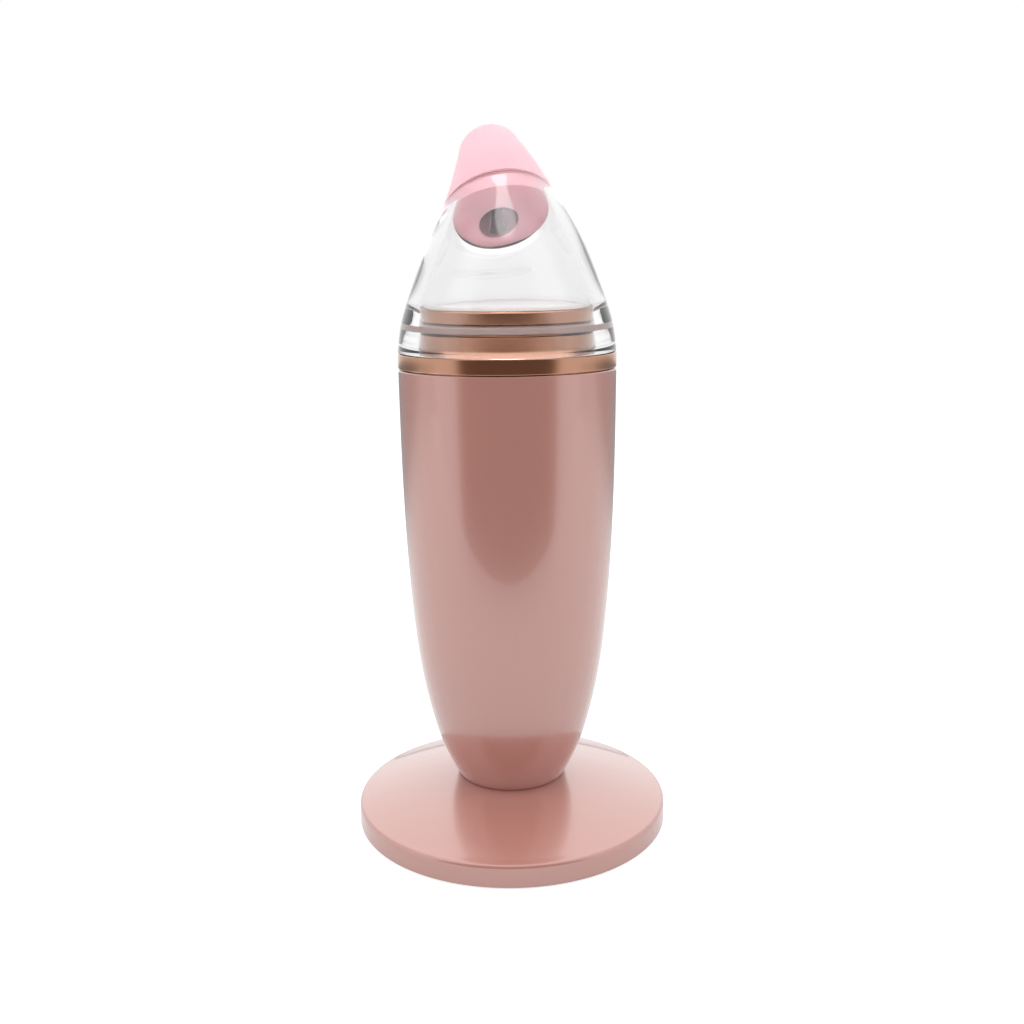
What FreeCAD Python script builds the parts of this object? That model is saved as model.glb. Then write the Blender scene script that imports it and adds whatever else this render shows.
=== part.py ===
"""Hand-held blackhead vacuum extractor, standing on its weighted round stand.

Every piece is a separate solid in its own STEP file. Millimetres, +Z up. The origin is the
centre of the stand's underside. The plain front faces -Y, the button and socket are on +Y.
"""
import FreeCAD, Part
import os
from math import cos, pi, radians, sin

from FreeCAD import Placement, Rotation, Vector

# ---- stand -------------------------------------------------------------------------------
STAND_R = 36.1               # outer radius
STAND_GAP = 0.3              # the rubber pad lifts the stand's edge by this much
STAND_WALL = 2.0
STAND_CAP_TOP = 11.84        # height that the stand's domed top would reach on the axis
STAND_CAP_CURVE = 194.0      # twice the radius of the domed top
STAND_EDGE = 0.9             # rounding of the stand's top edge
STAND_FOOT_BEVEL = 0.4
STAND_INNER_R = STAND_R - STAND_WALL
SEAT_R = 12.3                # flat seat under the foot
SEAT_Z = 11.06
HUB_R = SEAT_R - 2.0         # hub that holds the spigot
HUB_LOW = 2.4
SPIGOT_R = 6.0               # stand spigot that locates the foot
SPIGOT_TOP = 15.0
SPIGOT_BEVEL = 0.8
SPIGOT_FLANGE = (1.95, 4.45)     # how far the flange stands out, and its top
WEIGHT = (27.6, SEAT_R - 1.8, 2.45, 5.4)     # outer radius, inner radius, low, high
COVER = (0.9, 2.3)           # heights of the cover plate
PAD_GRIP = (22.0, 0.85)      # inner radius and thickness of the rubber pad
STAND_SCREW_X = 30.6
STAND_BOSS_R = 2.1
STAND_BOSS_TOP = 5.2
STAND_SCREW_END = 5.0
STAND_SCREW_R = 0.95
STAND_HEAD_R = 1.9

# ---- handle ------------------------------------------------------------------------------
WALL = 1.6                   # wall of the body shell
BODY_TOP = 106.2
BODY_OUTLINE = [(12.6, 11.4), (16.2, 19.0), (18.34, 26.0), (20.48, 36.0), (22.17, 50.0),
                (23.31, 68.0), (23.89, 88.0), (24.05, BODY_TOP)]     # (radius, height)
FOOT_BEVEL = 0.5
FOOT_CAP_TOP = 12.6
FOOT_SOCKET_TOP = 16.4

RING_R = 24.05               # trim ring between the body and the clear dome
RING_BOTTOM = 106.45
RING_TOP = 109.7
RING_BEVEL = 0.18
RING_SKIRT = (20.5, 22.3, 103.0)     # inner radius, outer radius and lower end
COLLAR_R = 19.3              # collar that the clear dome slides over
COLLAR_TOP = 118.6
COLLAR_BORE = 15.5
COLLAR_FLANGE = (20.3, 104.2, 106.4)
COLLAR_LIP = 0.35
COLLAR_DECK = 116.2          # underside of the collar's deck
PAD_R = 18.4                 # round filter pad in the collar's top
PAD_FLOOR = 117.4
PAD_TOP = 119.7
PAD_EDGE = 0.3
AIR_HOLE_R = 1.5
HOSE_STUB = (2.6, 110.0)     # radius and lower end of the stub for the hose
SEAL_Z = 114.8
SEAL_SECTION = 1.2           # radius of the seal ring's round section
SEAL_R = 18.45               # radius of the seal ring's centre line
HOSE_BORE = 2.65
HOSE_WALL = 1.0
HOSE_Z = (101.6, 115.6)

# ---- clear dome and silicone head --------------------------------------------------------
DOME_BORE = 19.7
DOME_BORE_TOP = 119.5
DOME_FOOT = (23.6, 110.1)    # radius of the dome's lowest edge, and where its skin starts
HEAD_AZIMUTH = 15.0          # the head leans to +Y, turned this far towards -X
# stations of the bent outer skin: lean along the azimuth, height, radius, tilt
LOWER_SKIN = [(0, DOME_FOOT[1], 24.03, 0), (0, 116.0, 23.19, 0), (0, 122.0, 21.28, 0), (1.74, 131.0, 17.64, 15)]
RIM = (5.38, 139.88, 12.81, 40)
UPPER_SKIN = [(8.46, 146.48, 9.8, 46), (13.52, 152.84, 7.03, 52)]
CAVITY_SKIN = [(0, DOME_BORE_TOP, DOME_BORE, 0), (-0.1, 124.5, 17.7, 2.5), (1.2, 131.0, 14.9, 15)]
RIM_BORE = 11.3              # bore of the dome's rim
RIM_LAND = 2.65              # depth of that bore
PLUG_R = 11.2                # silicone plug inside the rim
PLUG_DEPTH = 2.1             # middle of the plug's face, below the rim
PLUG_TILT = 30.0             # the face is flatter than the rim
RECESS_HALF = (4.5, 5.6)     # oval recess in that face: half its width, level and the leaning way
RECESS_OFFSET = 2.8          # down the face from its middle
RECESS_DEPTH = 8.0
LIP_HEIGHT = 2.0
LIP_BEND = [(0.4, 1.25), (1.2, LIP_HEIGHT)]      # how far the lip draws in, at a height
CUP_R = 5.2                  # mouth cup that sits on the skin
CUP_TAPER = 0.6
CUP_DEPTH = 1.6              # below the last skin station
TUBE_OFFSET = 4.2            # where the inlet tube's line meets the face, down from its middle
TUBE_R = 1.35
TUBE_BORE = 0.8
TUBE_MOUTH = (2.0, -0.8)     # radius of the tube's flared end, and its place along the recess
TUBE_FLARE_END = 3.5
TUBE_FIT = 0.02
FIT = 0.05                   # radial clearance of running and push fits

# ---- button, board and socket ------------------------------------------------------------
BUTTON_Z = 84.0
BUTTON_R = 5.6
BUTTON_PLAY = 0.15
BUTTON_PROUD = 0.75          # how far the button stands out of the body
BUTTON_FLANGE = (1.0, 19.9, 20.7)
BEZEL_R = 7.0
BEZEL_PROUD = 0.25
BEZEL_BACK = 20.8
BOARD_Y = 15.5               # inner face of the circuit board
BOARD_T = 1.2
BOARD_FACE = BOARD_Y + BOARD_T
BOARD_HALF = 7.5
BOARD_Z = (36.0, 98.0)
POSTS = [(x, z) for x in (-5.2, 5.2) for z in (60.0, 79.0)]
POST_R = 1.6
POST_PIN_R = 0.95
CHIPS = [((-3.0, 3.0), (14.45, BOARD_Y), (90.0, 96.0)), ((-4.8, -1.8), (14.6, BOARD_Y), (46.0, 49.0)),
         ((1.0, 5.0), (14.45, BOARD_Y), (44.0, 50.0)), ((-6.0, -4.0), (14.6, BOARD_Y), (88.0, 91.0))]
SWITCH_HALF = 3.0
SWITCH_FACE = 18.4
PLUNGER = (1.7, 19.2)        # radius and outer end
LIGHT_Z = (66.0, 70.0, 74.0)
LIGHT_SIZE = (1.6, 0.8, 1.2)
GUIDE_HALF = 1.6
GUIDE_Y = (18.6, 19.8)
GUIDE_PIN_R = 0.9
SOCKET_Z = 40.0
SOCKET_SIZE = (8.94, 3.26)   # width and height of the charging socket
SOCKET_WALL = 0.32
SOCKET_Y = (BOARD_FACE, 20.85)
TONGUE_HALF = (3.3, 0.35)
EXHAUST_X = (-4.0, 0.0, 4.0)
EXHAUST_Z = 30.0
EXHAUST_R = 0.7
BACK_CUT = (15.0, 30.0)      # reach of the cuts through the back wall

# ---- chassis, cell, motor and pump -------------------------------------------------------
CELL_R = 8.15
CELL_Z = (18.2, 51.4)
CELL_BEVEL = 0.5
CELL_NUB = (2.8, 0.6)
TAB_X = (-2.5, 2.5)
TAB_Y = (-4.0, 7.6)
TAB_T = 0.33
CHASSIS_WALL = 1.6
CHASSIS_PLAY = 0.3
CRADLE_Z = (17.6, 52.6)
CRADLE_FLOOR = (11.6, 16.6)
BULKHEAD = (17.5, 53.6)
BARREL_TOP = 84.6
BOSSES = [(x, z) for x in (-15.9, 15.9) for z in (58.0, 78.0)]
BOSS_R = 2.5
BOSS_HALF = 5.5
SCREW_SEAT = -4.4
SCREW_END = 3.8
PARTING = 0.05
MOTOR_R = 12.2
MOTOR_Z = (55.5, 84.0)
MOTOR_WALL = 1.0
END_CAP = (1.6, 1.4)         # how far the end cap reaches below and above the can's end
MAGNET = (9.6, 59.0, 79.0)
MAGNET_GAP = 3.5
BUSH_R = 3.0
SHAFT_R = 1.0
SHAFT_Z = (53.0, 89.0)
ARMATURE = (9.1, 61.0, 77.0)
ARMATURE_SLOT = (7.4, 0.8)
WINDING_WELL = (2.2, 5.6)
COMMUTATOR = (2.7, 57.0, 60.6)
CRANK = (4.2, 87.1, 89.4)
CRANK_PIN = (0.75, 1.6, 91.9)
PUMP_R = 13.3
PUMP_Z = (85.1, 96.0)
PUMP_FLOOR = 1.4
PUMP_SHAFT_HOLE = 3.6
PUMP_CUP_RADIUS = 6.2        # the three pump cups stand on this circle
PUMP_SCREW_RADIUS = 11.3
PUMP_SCREW_R = 1.0
PUMP_HEAD = (1.8, 102.0)
PILLAR_R = 2.0
SWASH_Z = (90.0, 91.2)
SWASH_HUB = (3.8, 2.65)
SWASH_ARM = (1.2, 2.2)
CUP_OUTER = 3.3
CUP_INNER = 2.5
CUP_Z = (91.8, 92.6)         # underside and floor of the diaphragm's cups
WEB_Z = (95.2, PUMP_Z[1])
STEM_R = 1.1
VALVE_TOP = 98.0
VALVE_HOLE = (0.8, 4.4)
PUMP_COVER_TOP = 101.0
PUMP_NOZZLE_TOP = 105.0
COVER_CHAMBER = (6.5, 99.5)
THREE = 3
OVER = 1.0                   # how far a cutting tool reaches past what it cuts

BACK = Vector(0, 1, 0)
UP = Vector(0, 0, 1)


# ---- helpers -----------------------------------------------------------------------------
def save(node, shape):
    """Write one node as a STEP file and print its size."""
    shape.exportStep("parts/" + node + ".step")
    box = shape.BoundBox
    print(f"{node:22s} solids {len(shape.Solids)} volume {shape.Volume:9.1f} valid {shape.isValid()}"
          f" x {box.XMin:6.1f} {box.XMax:6.1f} y {box.YMin:6.1f} {box.YMax:6.1f}"
          f" z {box.ZMin:6.1f} {box.ZMax:6.1f}")


def disc(radius, low, high, x=0.0):
    """Upright cylinder between two heights."""
    return Part.makeCylinder(radius, high - low, Vector(x, 0, low))


def ring(outer, inner, low, high):
    """Upright tube between two heights."""
    return disc(outer, low, high).cut(disc(inner, low - OVER, high + OVER))


def across(radius, near, far, x, z):
    """Cylinder along Y between two depths."""
    return Part.makeCylinder(radius, far - near, Vector(x, near, z), BACK)


def block(x, y, z):
    """Box from three (low, high) pairs."""
    return Part.makeBox(x[1] - x[0], y[1] - y[0], z[1] - z[0], Vector(x[0], y[0], z[0]))


def both_ways(half):
    return (-half, half)


def lathe(edges):
    """Turn a closed outline of (r, z) edges about the Z axis."""
    face = Part.Face(Part.Wire(edges))
    return face.revolve(Vector(0, 0, 0), UP, 360)


def flat_point(point):
    return Vector(point[0], 0, point[1])


def lines(points, closed=False):
    """Straight edges through (r, z) points."""
    path = [flat_point(p) for p in points]
    if closed:
        path.append(path[0])
    return [Part.makeLine(a, b) for a, b in zip(path, path[1:])]


def curve(points):
    """Smooth edge through (r, z) points."""
    spline = Part.BSplineCurve()
    spline.interpolate([flat_point(p) for p in points])
    return spline.toShape()


def arc(start, middle, end):
    return Part.Arc(flat_point(start), flat_point(middle), flat_point(end)).toShape()


def spread(piece, start=90.0):
    """Three copies of a piece turned evenly about the Z axis."""
    copies = []
    for i in range(THREE):
        copy = piece.copy()
        copy.rotate(Vector(0, 0, 0), UP, start + 360.0 * i / THREE)
        copies.append(copy)
    return copies


def cut_all(piece, tools):
    for tool in tools:
        piece = piece.cut(tool)
    return piece


def fuse_all(pieces):
    result = pieces[0]
    for piece in pieces[1:]:
        result = result.fuse(piece)
    return result.removeSplitter()


def lean_place(lean, height, tilt):
    """Placement of the head's own axes: lean along the azimuth, then tilt about the level axis."""
    turn = radians(HEAD_AZIMUTH)
    centre = Vector(-sin(turn) * lean, cos(turn) * lean, height)
    return Placement(centre, Rotation(Vector(-cos(turn), -sin(turn), 0), tilt))


def along_tilt(station, distance):
    """Lean and height of the point at a distance along a station's own axis."""
    lean, height, _, tilt = station
    return lean + distance * sin(radians(tilt)), height + distance * cos(radians(tilt))


def section(lean, height, radius, tilt):
    """Circular section of the bent skin."""
    circle = Part.makeCircle(radius)
    circle.Placement = lean_place(lean, height, tilt)
    return Part.Wire(circle)


def bent_skin(stations):
    return Part.makeLoft([section(*s) for s in stations], True, False)


def at_rim(shape, drop=0.0):
    """Place a shape made about Z on the rim's axis, a little below the rim's plane."""
    lean, height, _, tilt = RIM
    shape.Placement = lean_place(lean, height, tilt).multiply(Placement(Vector(0, 0, -drop), Rotation()))
    return shape


def body_solid(grow):
    """The body's full outer form, grown by a constant radius."""
    outline = [(r + grow, z) for r, z in BODY_OUTLINE]
    low, high = outline[0][1], outline[-1][1]
    return lathe([curve(outline)] + lines([outline[-1], (0, high), (0, low), outline[0]]))


# ---- stand -------------------------------------------------------------------------------
def cap_point(radius, below=0.0):
    """Point of the domed top at a radius, or below it."""
    return (radius, STAND_CAP_TOP - radius ** 2 / STAND_CAP_CURVE - below)


def make_stand():
    edge_in = STAND_R - STAND_EDGE
    edge_low = cap_point(edge_in)[1] - STAND_EDGE
    knee = (STAND_R - STAND_EDGE * (1 - cos(pi / 4)), edge_low + STAND_EDGE * sin(pi / 4))
    hole_r = SPIGOT_R + FIT
    flange_out, flange_top = SPIGOT_FLANGE
    step_z = flange_top + FIT
    outline = lines([(hole_r, SEAT_Z), (SEAT_R, SEAT_Z)])
    outline += [arc((SEAT_R, SEAT_Z), cap_point((SEAT_R + edge_in) / 2), cap_point(edge_in))]
    outline += [arc(cap_point(edge_in), knee, (STAND_R, edge_low))]
    outline += lines([(STAND_R, edge_low), (STAND_R, STAND_GAP + STAND_FOOT_BEVEL),
                      (STAND_R - STAND_FOOT_BEVEL, STAND_GAP), (STAND_INNER_R, STAND_GAP),
                      cap_point(STAND_INNER_R, STAND_WALL)])
    outline += [arc(cap_point(STAND_INNER_R, STAND_WALL), cap_point((SEAT_R + STAND_INNER_R) / 2, STAND_WALL),
                    cap_point(HUB_R, STAND_WALL))]
    outline += lines([cap_point(HUB_R, STAND_WALL), (HUB_R, HUB_LOW), (hole_r + flange_out, HUB_LOW),
                      (hole_r + flange_out, step_z), (hole_r, step_z), (hole_r, SEAT_Z)])
    bosses = spread(disc(STAND_BOSS_R, HUB_LOW, STAND_BOSS_TOP, x=STAND_SCREW_X))
    stand = fuse_all([lathe(outline)] + bosses)
    save("stand_disc", cut_all(stand, spread(disc(STAND_SCREW_R, 0, STAND_SCREW_END, x=STAND_SCREW_X))))

    spigot = lathe(lines([(0, HUB_LOW), (SPIGOT_R + flange_out, HUB_LOW), (SPIGOT_R + flange_out, flange_top),
                          (SPIGOT_R, flange_top), (SPIGOT_R, SPIGOT_TOP - SPIGOT_BEVEL),
                          (SPIGOT_R - SPIGOT_BEVEL, SPIGOT_TOP), (0, SPIGOT_TOP)], closed=True))
    save("stand_spigot", spigot)
    save("stand_weight", ring(*WEIGHT))
    low, high = COVER
    seat = (low + high) / 2
    cover = disc(STAND_INNER_R - 2 * FIT, low, high)
    cover = cut_all(cover, spread(disc(STAND_SCREW_R + 4 * FIT, 0, high + OVER, x=STAND_SCREW_X))
                    + spread(disc(STAND_HEAD_R + 4 * FIT, 0, seat, x=STAND_SCREW_X)))
    save("stand_cover", cover)
    grip_r, grip_t = PAD_GRIP
    save("stand_pad", ring(STAND_INNER_R - CHASSIS_PLAY, grip_r, 0.0, grip_t))
    screw = disc(STAND_SCREW_R, seat - FIT, STAND_SCREW_END - STAND_FOOT_BEVEL, x=STAND_SCREW_X)
    screw = screw.fuse(disc(STAND_HEAD_R, low + FIT, seat - FIT, x=STAND_SCREW_X))
    save("stand_screws", Part.makeCompound(spread(screw)))


# ---- handle ------------------------------------------------------------------------------
def socket_slot(width, height, near, far):
    """Slot with round ends, along Y at the charging socket."""
    radius = height / 2
    side = width / 2 - radius
    ends = [across(radius, near, far, x, SOCKET_Z) for x in both_ways(side)]
    middle = block(both_ways(side), (near, far), (SOCKET_Z - radius, SOCKET_Z + radius))
    return fuse_all([middle] + ends)


def make_body():
    inner = [(r - WALL, z) for r, z in BODY_OUTLINE]
    foot_r = BODY_OUTLINE[0][0]
    outline = [curve(BODY_OUTLINE)]
    outline += lines([BODY_OUTLINE[-1], inner[-1]])
    outline += [curve(inner)]
    outline += lines([inner[0], (inner[0][0], SEAT_Z), (foot_r - FOOT_BEVEL, SEAT_Z), BODY_OUTLINE[0]])
    holes = [across(BEZEL_R + FIT, *BACK_CUT, 0, BUTTON_Z)]
    holes += [across(GUIDE_PIN_R + FIT, *BACK_CUT, 0, z) for z in LIGHT_Z]
    holes += [across(EXHAUST_R, *BACK_CUT, x, EXHAUST_Z) for x in EXHAUST_X]
    holes += [socket_slot(SOCKET_SIZE[0] + 8 * FIT, SOCKET_SIZE[1] + 8 * FIT, *BACK_CUT)]
    save("body_shell", cut_all(lathe(outline), holes))

    cap = disc(inner[0][0] - 2 * FIT, SEAT_Z, FOOT_CAP_TOP)
    cap = cap.fuse(disc(SPIGOT_R + STAND_WALL, FOOT_CAP_TOP, FOOT_SOCKET_TOP))
    save("foot_cap", cap.cut(disc(SPIGOT_R + FIT, SEAT_Z - OVER, SPIGOT_TOP + CHASSIS_PLAY)).removeSplitter())


def make_neck():
    bore_r = COLLAR_R + 2 * FIT
    skirt_in, skirt_out, skirt_low = RING_SKIRT
    save("trim_ring", lathe(lines([
        (bore_r, RING_BOTTOM), (skirt_in, RING_BOTTOM), (skirt_in, skirt_low), (skirt_out, skirt_low),
        (skirt_out, RING_BOTTOM), (RING_R - RING_BEVEL, RING_BOTTOM), (RING_R, RING_BOTTOM + RING_BEVEL),
        (RING_R, RING_TOP - RING_BEVEL), (RING_R - RING_BEVEL, RING_TOP), (bore_r, RING_TOP)], closed=True)))

    groove = (SEAL_Z - SEAL_SECTION - FIT, SEAL_Z + SEAL_SECTION + FIT)
    groove_r = SEAL_R - SEAL_SECTION - FIT / 2
    flange_r, flange_low, flange_top = COLLAR_FLANGE
    stub_r, stub_low = HOSE_STUB
    turn = COLLAR_LIP * (1 - cos(pi / 4))
    outline = lines([(COLLAR_BORE, flange_low), (flange_r, flange_low), (flange_r, flange_top),
                     (COLLAR_R, flange_top), (COLLAR_R, groove[0]), (groove_r, groove[0]), (groove_r, groove[1]),
                     (COLLAR_R, groove[1]), (COLLAR_R, COLLAR_TOP - COLLAR_LIP)])
    outline += [arc((COLLAR_R, COLLAR_TOP - COLLAR_LIP), (COLLAR_R - turn, COLLAR_TOP - turn),
                    (COLLAR_R - COLLAR_LIP, COLLAR_TOP))]
    outline += lines([(COLLAR_R - COLLAR_LIP, COLLAR_TOP), (PAD_R + 2 * FIT, COLLAR_TOP),
                      (PAD_R + 2 * FIT, PAD_FLOOR), (AIR_HOLE_R, PAD_FLOOR), (AIR_HOLE_R, stub_low),
                      (stub_r, stub_low), (stub_r, COLLAR_DECK), (COLLAR_BORE, COLLAR_DECK),
                      (COLLAR_BORE, flange_low)])
    save("neck_collar", lathe(outline))
    save("chamber_seal", Part.makeTorus(SEAL_R, SEAL_SECTION, Vector(0, 0, SEAL_Z)))
    save("suction_hose", ring(HOSE_BORE + HOSE_WALL, HOSE_BORE, *HOSE_Z))
    save("filter_pad", lathe(lines([(0, PAD_FLOOR), (PAD_R, PAD_FLOOR), (PAD_R, PAD_TOP - PAD_EDGE),
                                    (PAD_R - PAD_EDGE, PAD_TOP), (0, PAD_TOP)], closed=True)))


def make_button():
    outside = BODY_OUTLINE[-1][0] + 4 * OVER
    hole = across(BUTTON_R + BUTTON_PLAY, BEZEL_BACK - OVER, outside + OVER, 0, BUTTON_Z)
    bezel = across(BEZEL_R, BEZEL_BACK, outside, 0, BUTTON_Z).cut(hole)
    save("button_bezel", bezel.common(body_solid(BEZEL_PROUD)))
    flange_out, flange_back, flange_front = BUTTON_FLANGE
    cap = across(BUTTON_R, flange_back, outside, 0, BUTTON_Z).common(body_solid(BUTTON_PROUD))
    flange = across(BUTTON_R + flange_out, flange_back, flange_front, 0, BUTTON_Z)
    save("power_button", cap.fuse(flange).removeSplitter())

    plunger_r, plunger_end = PLUNGER
    switch = block(both_ways(SWITCH_HALF), (BOARD_FACE, SWITCH_FACE),
                   (BUTTON_Z - SWITCH_HALF, BUTTON_Z + SWITCH_HALF))
    save("tact_switch", switch.fuse(across(plunger_r, SWITCH_FACE, plunger_end, 0, BUTTON_Z)))
    width, depth, height = LIGHT_SIZE
    lights = [block(both_ways(width / 2), (BOARD_FACE, BOARD_FACE + depth), (z - height / 2, z + height / 2))
              for z in LIGHT_Z]
    save("charge_lights", Part.makeCompound(lights))
    guide = block(both_ways(GUIDE_HALF), GUIDE_Y, (LIGHT_Z[0] - GUIDE_HALF, LIGHT_Z[-1] + GUIDE_HALF))
    pins = [across(GUIDE_PIN_R, GUIDE_Y[0], outside, 0, z).common(body_solid(FIT)) for z in LIGHT_Z]
    save("light_guide", fuse_all([guide] + pins))


def make_board():
    board = block(both_ways(BOARD_HALF), (BOARD_Y, BOARD_FACE), BOARD_Z)
    save("circuit_board", cut_all(board, [across(POST_PIN_R + FIT, 0, SOCKET_Y[1], x, z) for x, z in POSTS]))
    save("board_chips", Part.makeCompound([block(*chip) for chip in CHIPS]))
    width, height = SOCKET_SIZE
    near, far = SOCKET_Y
    inner = near + 2 * SOCKET_WALL
    hollow = socket_slot(width - 2 * SOCKET_WALL, height - 2 * SOCKET_WALL, inner, far + OVER)
    save("charging_socket", socket_slot(width, height, near, far).cut(hollow))
    half_width, half_height = TONGUE_HALF
    save("socket_tongue", block(both_ways(half_width), (inner, far - half_height - 4 * FIT),
                                (SOCKET_Z - half_height, SOCKET_Z + half_height)))


def half(shape, side):
    """Keep the front (-1) or rear (+1) half of a shape, with a narrow parting gap."""
    far = 2 * STAND_R
    depth = (PARTING, far) if side > 0 else (-far, -PARTING)
    return shape.common(block(both_ways(far), depth, (0, 2 * BODY_TOP)))


def make_chassis():
    cell_in, motor_in = CELL_R + CHASSIS_PLAY, MOTOR_R + CHASSIS_PLAY
    low, high = CRADLE_Z
    floor_r, floor_low = CRADLE_FLOOR
    bulkhead_r, bulkhead_top = BULKHEAD
    motor_room = disc(motor_in, bulkhead_top, BARREL_TOP)
    cradle = ring(CELL_R + CHASSIS_WALL, cell_in, low, high)
    bulkhead = ring(bulkhead_r, CRANK[0], high, bulkhead_top)
    barrel = ring(MOTOR_R + CHASSIS_WALL, motor_in, bulkhead_top, BARREL_TOP)
    bosses = [across(BOSS_R, -BOSS_HALF, BOSS_HALF, x, z) for x, z in BOSSES]
    whole = fuse_all([cradle, disc(floor_r, floor_low, low), bulkhead, barrel] + bosses).cut(motor_room)
    clear = BOARD_Y - 2 * CHASSIS_PLAY
    whole = whole.cut(block(both_ways(BOARD_HALF + OVER), (clear, bulkhead_r + OVER), (EXHAUST_Z, 60.0)))
    screw_r = POST_PIN_R - 3 * FIT
    holes = [across(screw_r, SCREW_SEAT, SCREW_END + 4 * FIT, x, z) for x, z in BOSSES]
    sinks = [across(screw_r + 0.9, -BOSS_HALF - OVER, SCREW_SEAT, x, z) for x, z in BOSSES]
    whole = cut_all(whole, holes + sinks)
    posts = [across(POST_R, MOTOR_R + 0.8, BOARD_Y - FIT / 2, x, z) for x, z in POSTS]
    pins = [across(POST_PIN_R, BOARD_Y - 0.5, BOARD_FACE, x, z) for x, z in POSTS]
    rear = fuse_all([half(whole, 1)] + posts + pins).cut(motor_room)
    save("chassis_front", half(whole, -1))
    save("chassis_rear", rear)
    screws = [across(screw_r - FIT / 2, SCREW_SEAT, SCREW_END, x, z).fuse(
              across(screw_r + 0.85, -BOSS_HALF + FIT, SCREW_SEAT, x, z)) for x, z in BOSSES]
    save("chassis_screws", Part.makeCompound(screws))


def make_power():
    low, high = CELL_Z
    nub_r, nub_height = CELL_NUB
    top = high + nub_height
    cell = lathe(lines([(0, low), (CELL_R - CELL_BEVEL, low), (CELL_R, low + CELL_BEVEL),
                        (CELL_R, high - CELL_BEVEL), (CELL_R - CELL_BEVEL, high), (nub_r, high),
                        (nub_r, top), (0, top)], closed=True))
    save("battery_cell", cell)
    space = FIT / 2
    tabs = [block(TAB_X, TAB_Y, (low - space - TAB_T, low - space)),
            block(TAB_X, TAB_Y, (top + space, top + space + TAB_T))]
    save("battery_tabs", Part.makeCompound(tabs))


def make_motor():
    low, high = MOTOR_Z
    inside = MOTOR_R - MOTOR_WALL
    cap_below, cap_above = END_CAP
    bush_hole = BUSH_R + FIT / 2
    can = disc(MOTOR_R, low, high).cut(disc(inside, low - OVER, high - MOTOR_WALL))
    save("motor_can", can.cut(disc(bush_hole, low, high + OVER)))
    save("motor_end_cap", ring(inside - FIT, bush_hole, low - cap_below, low + cap_above))
    magnet_r, magnet_low, magnet_top = MAGNET
    gaps = block(both_ways(STAND_R), both_ways(MAGNET_GAP), MOTOR_Z)
    save("motor_magnets", ring(inside - FIT, magnet_r, magnet_low, magnet_top).cut(gaps))
    shaft_hole = SHAFT_R + FIT
    bushes = [ring(BUSH_R, shaft_hole, high - cap_below, high + 0.8),
              ring(BUSH_R, shaft_hole, low - cap_below, low + MOTOR_WALL)]
    save("motor_bushes", Part.makeCompound(bushes))

    save("motor_shaft", disc(SHAFT_R, *SHAFT_Z))
    stack_r, stack_low, stack_top = ARMATURE
    slot_in, slot_half = ARMATURE_SLOT
    well_r, well_x = WINDING_WELL
    slots = spread(block((slot_in, stack_r + OVER), both_ways(slot_half), (stack_low - OVER, stack_top + OVER)), 60)
    wells = spread(disc(well_r, stack_low - OVER, stack_top + OVER, x=well_x), 60)
    save("motor_armature", cut_all(ring(stack_r, SHAFT_R, stack_low, stack_top), slots + wells))
    drum_r, drum_low, drum_top = COMMUTATOR
    save("commutator", ring(drum_r, SHAFT_R, drum_low, drum_top))
    crank_r, crank_low, crank_top = CRANK
    pin_r, pin_x, pin_top = CRANK_PIN
    crank = ring(crank_r, SHAFT_R, crank_low, crank_top).fuse(disc(pin_r, crank_top, pin_top, x=pin_x))
    save("pump_crank", crank.removeSplitter())


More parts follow.
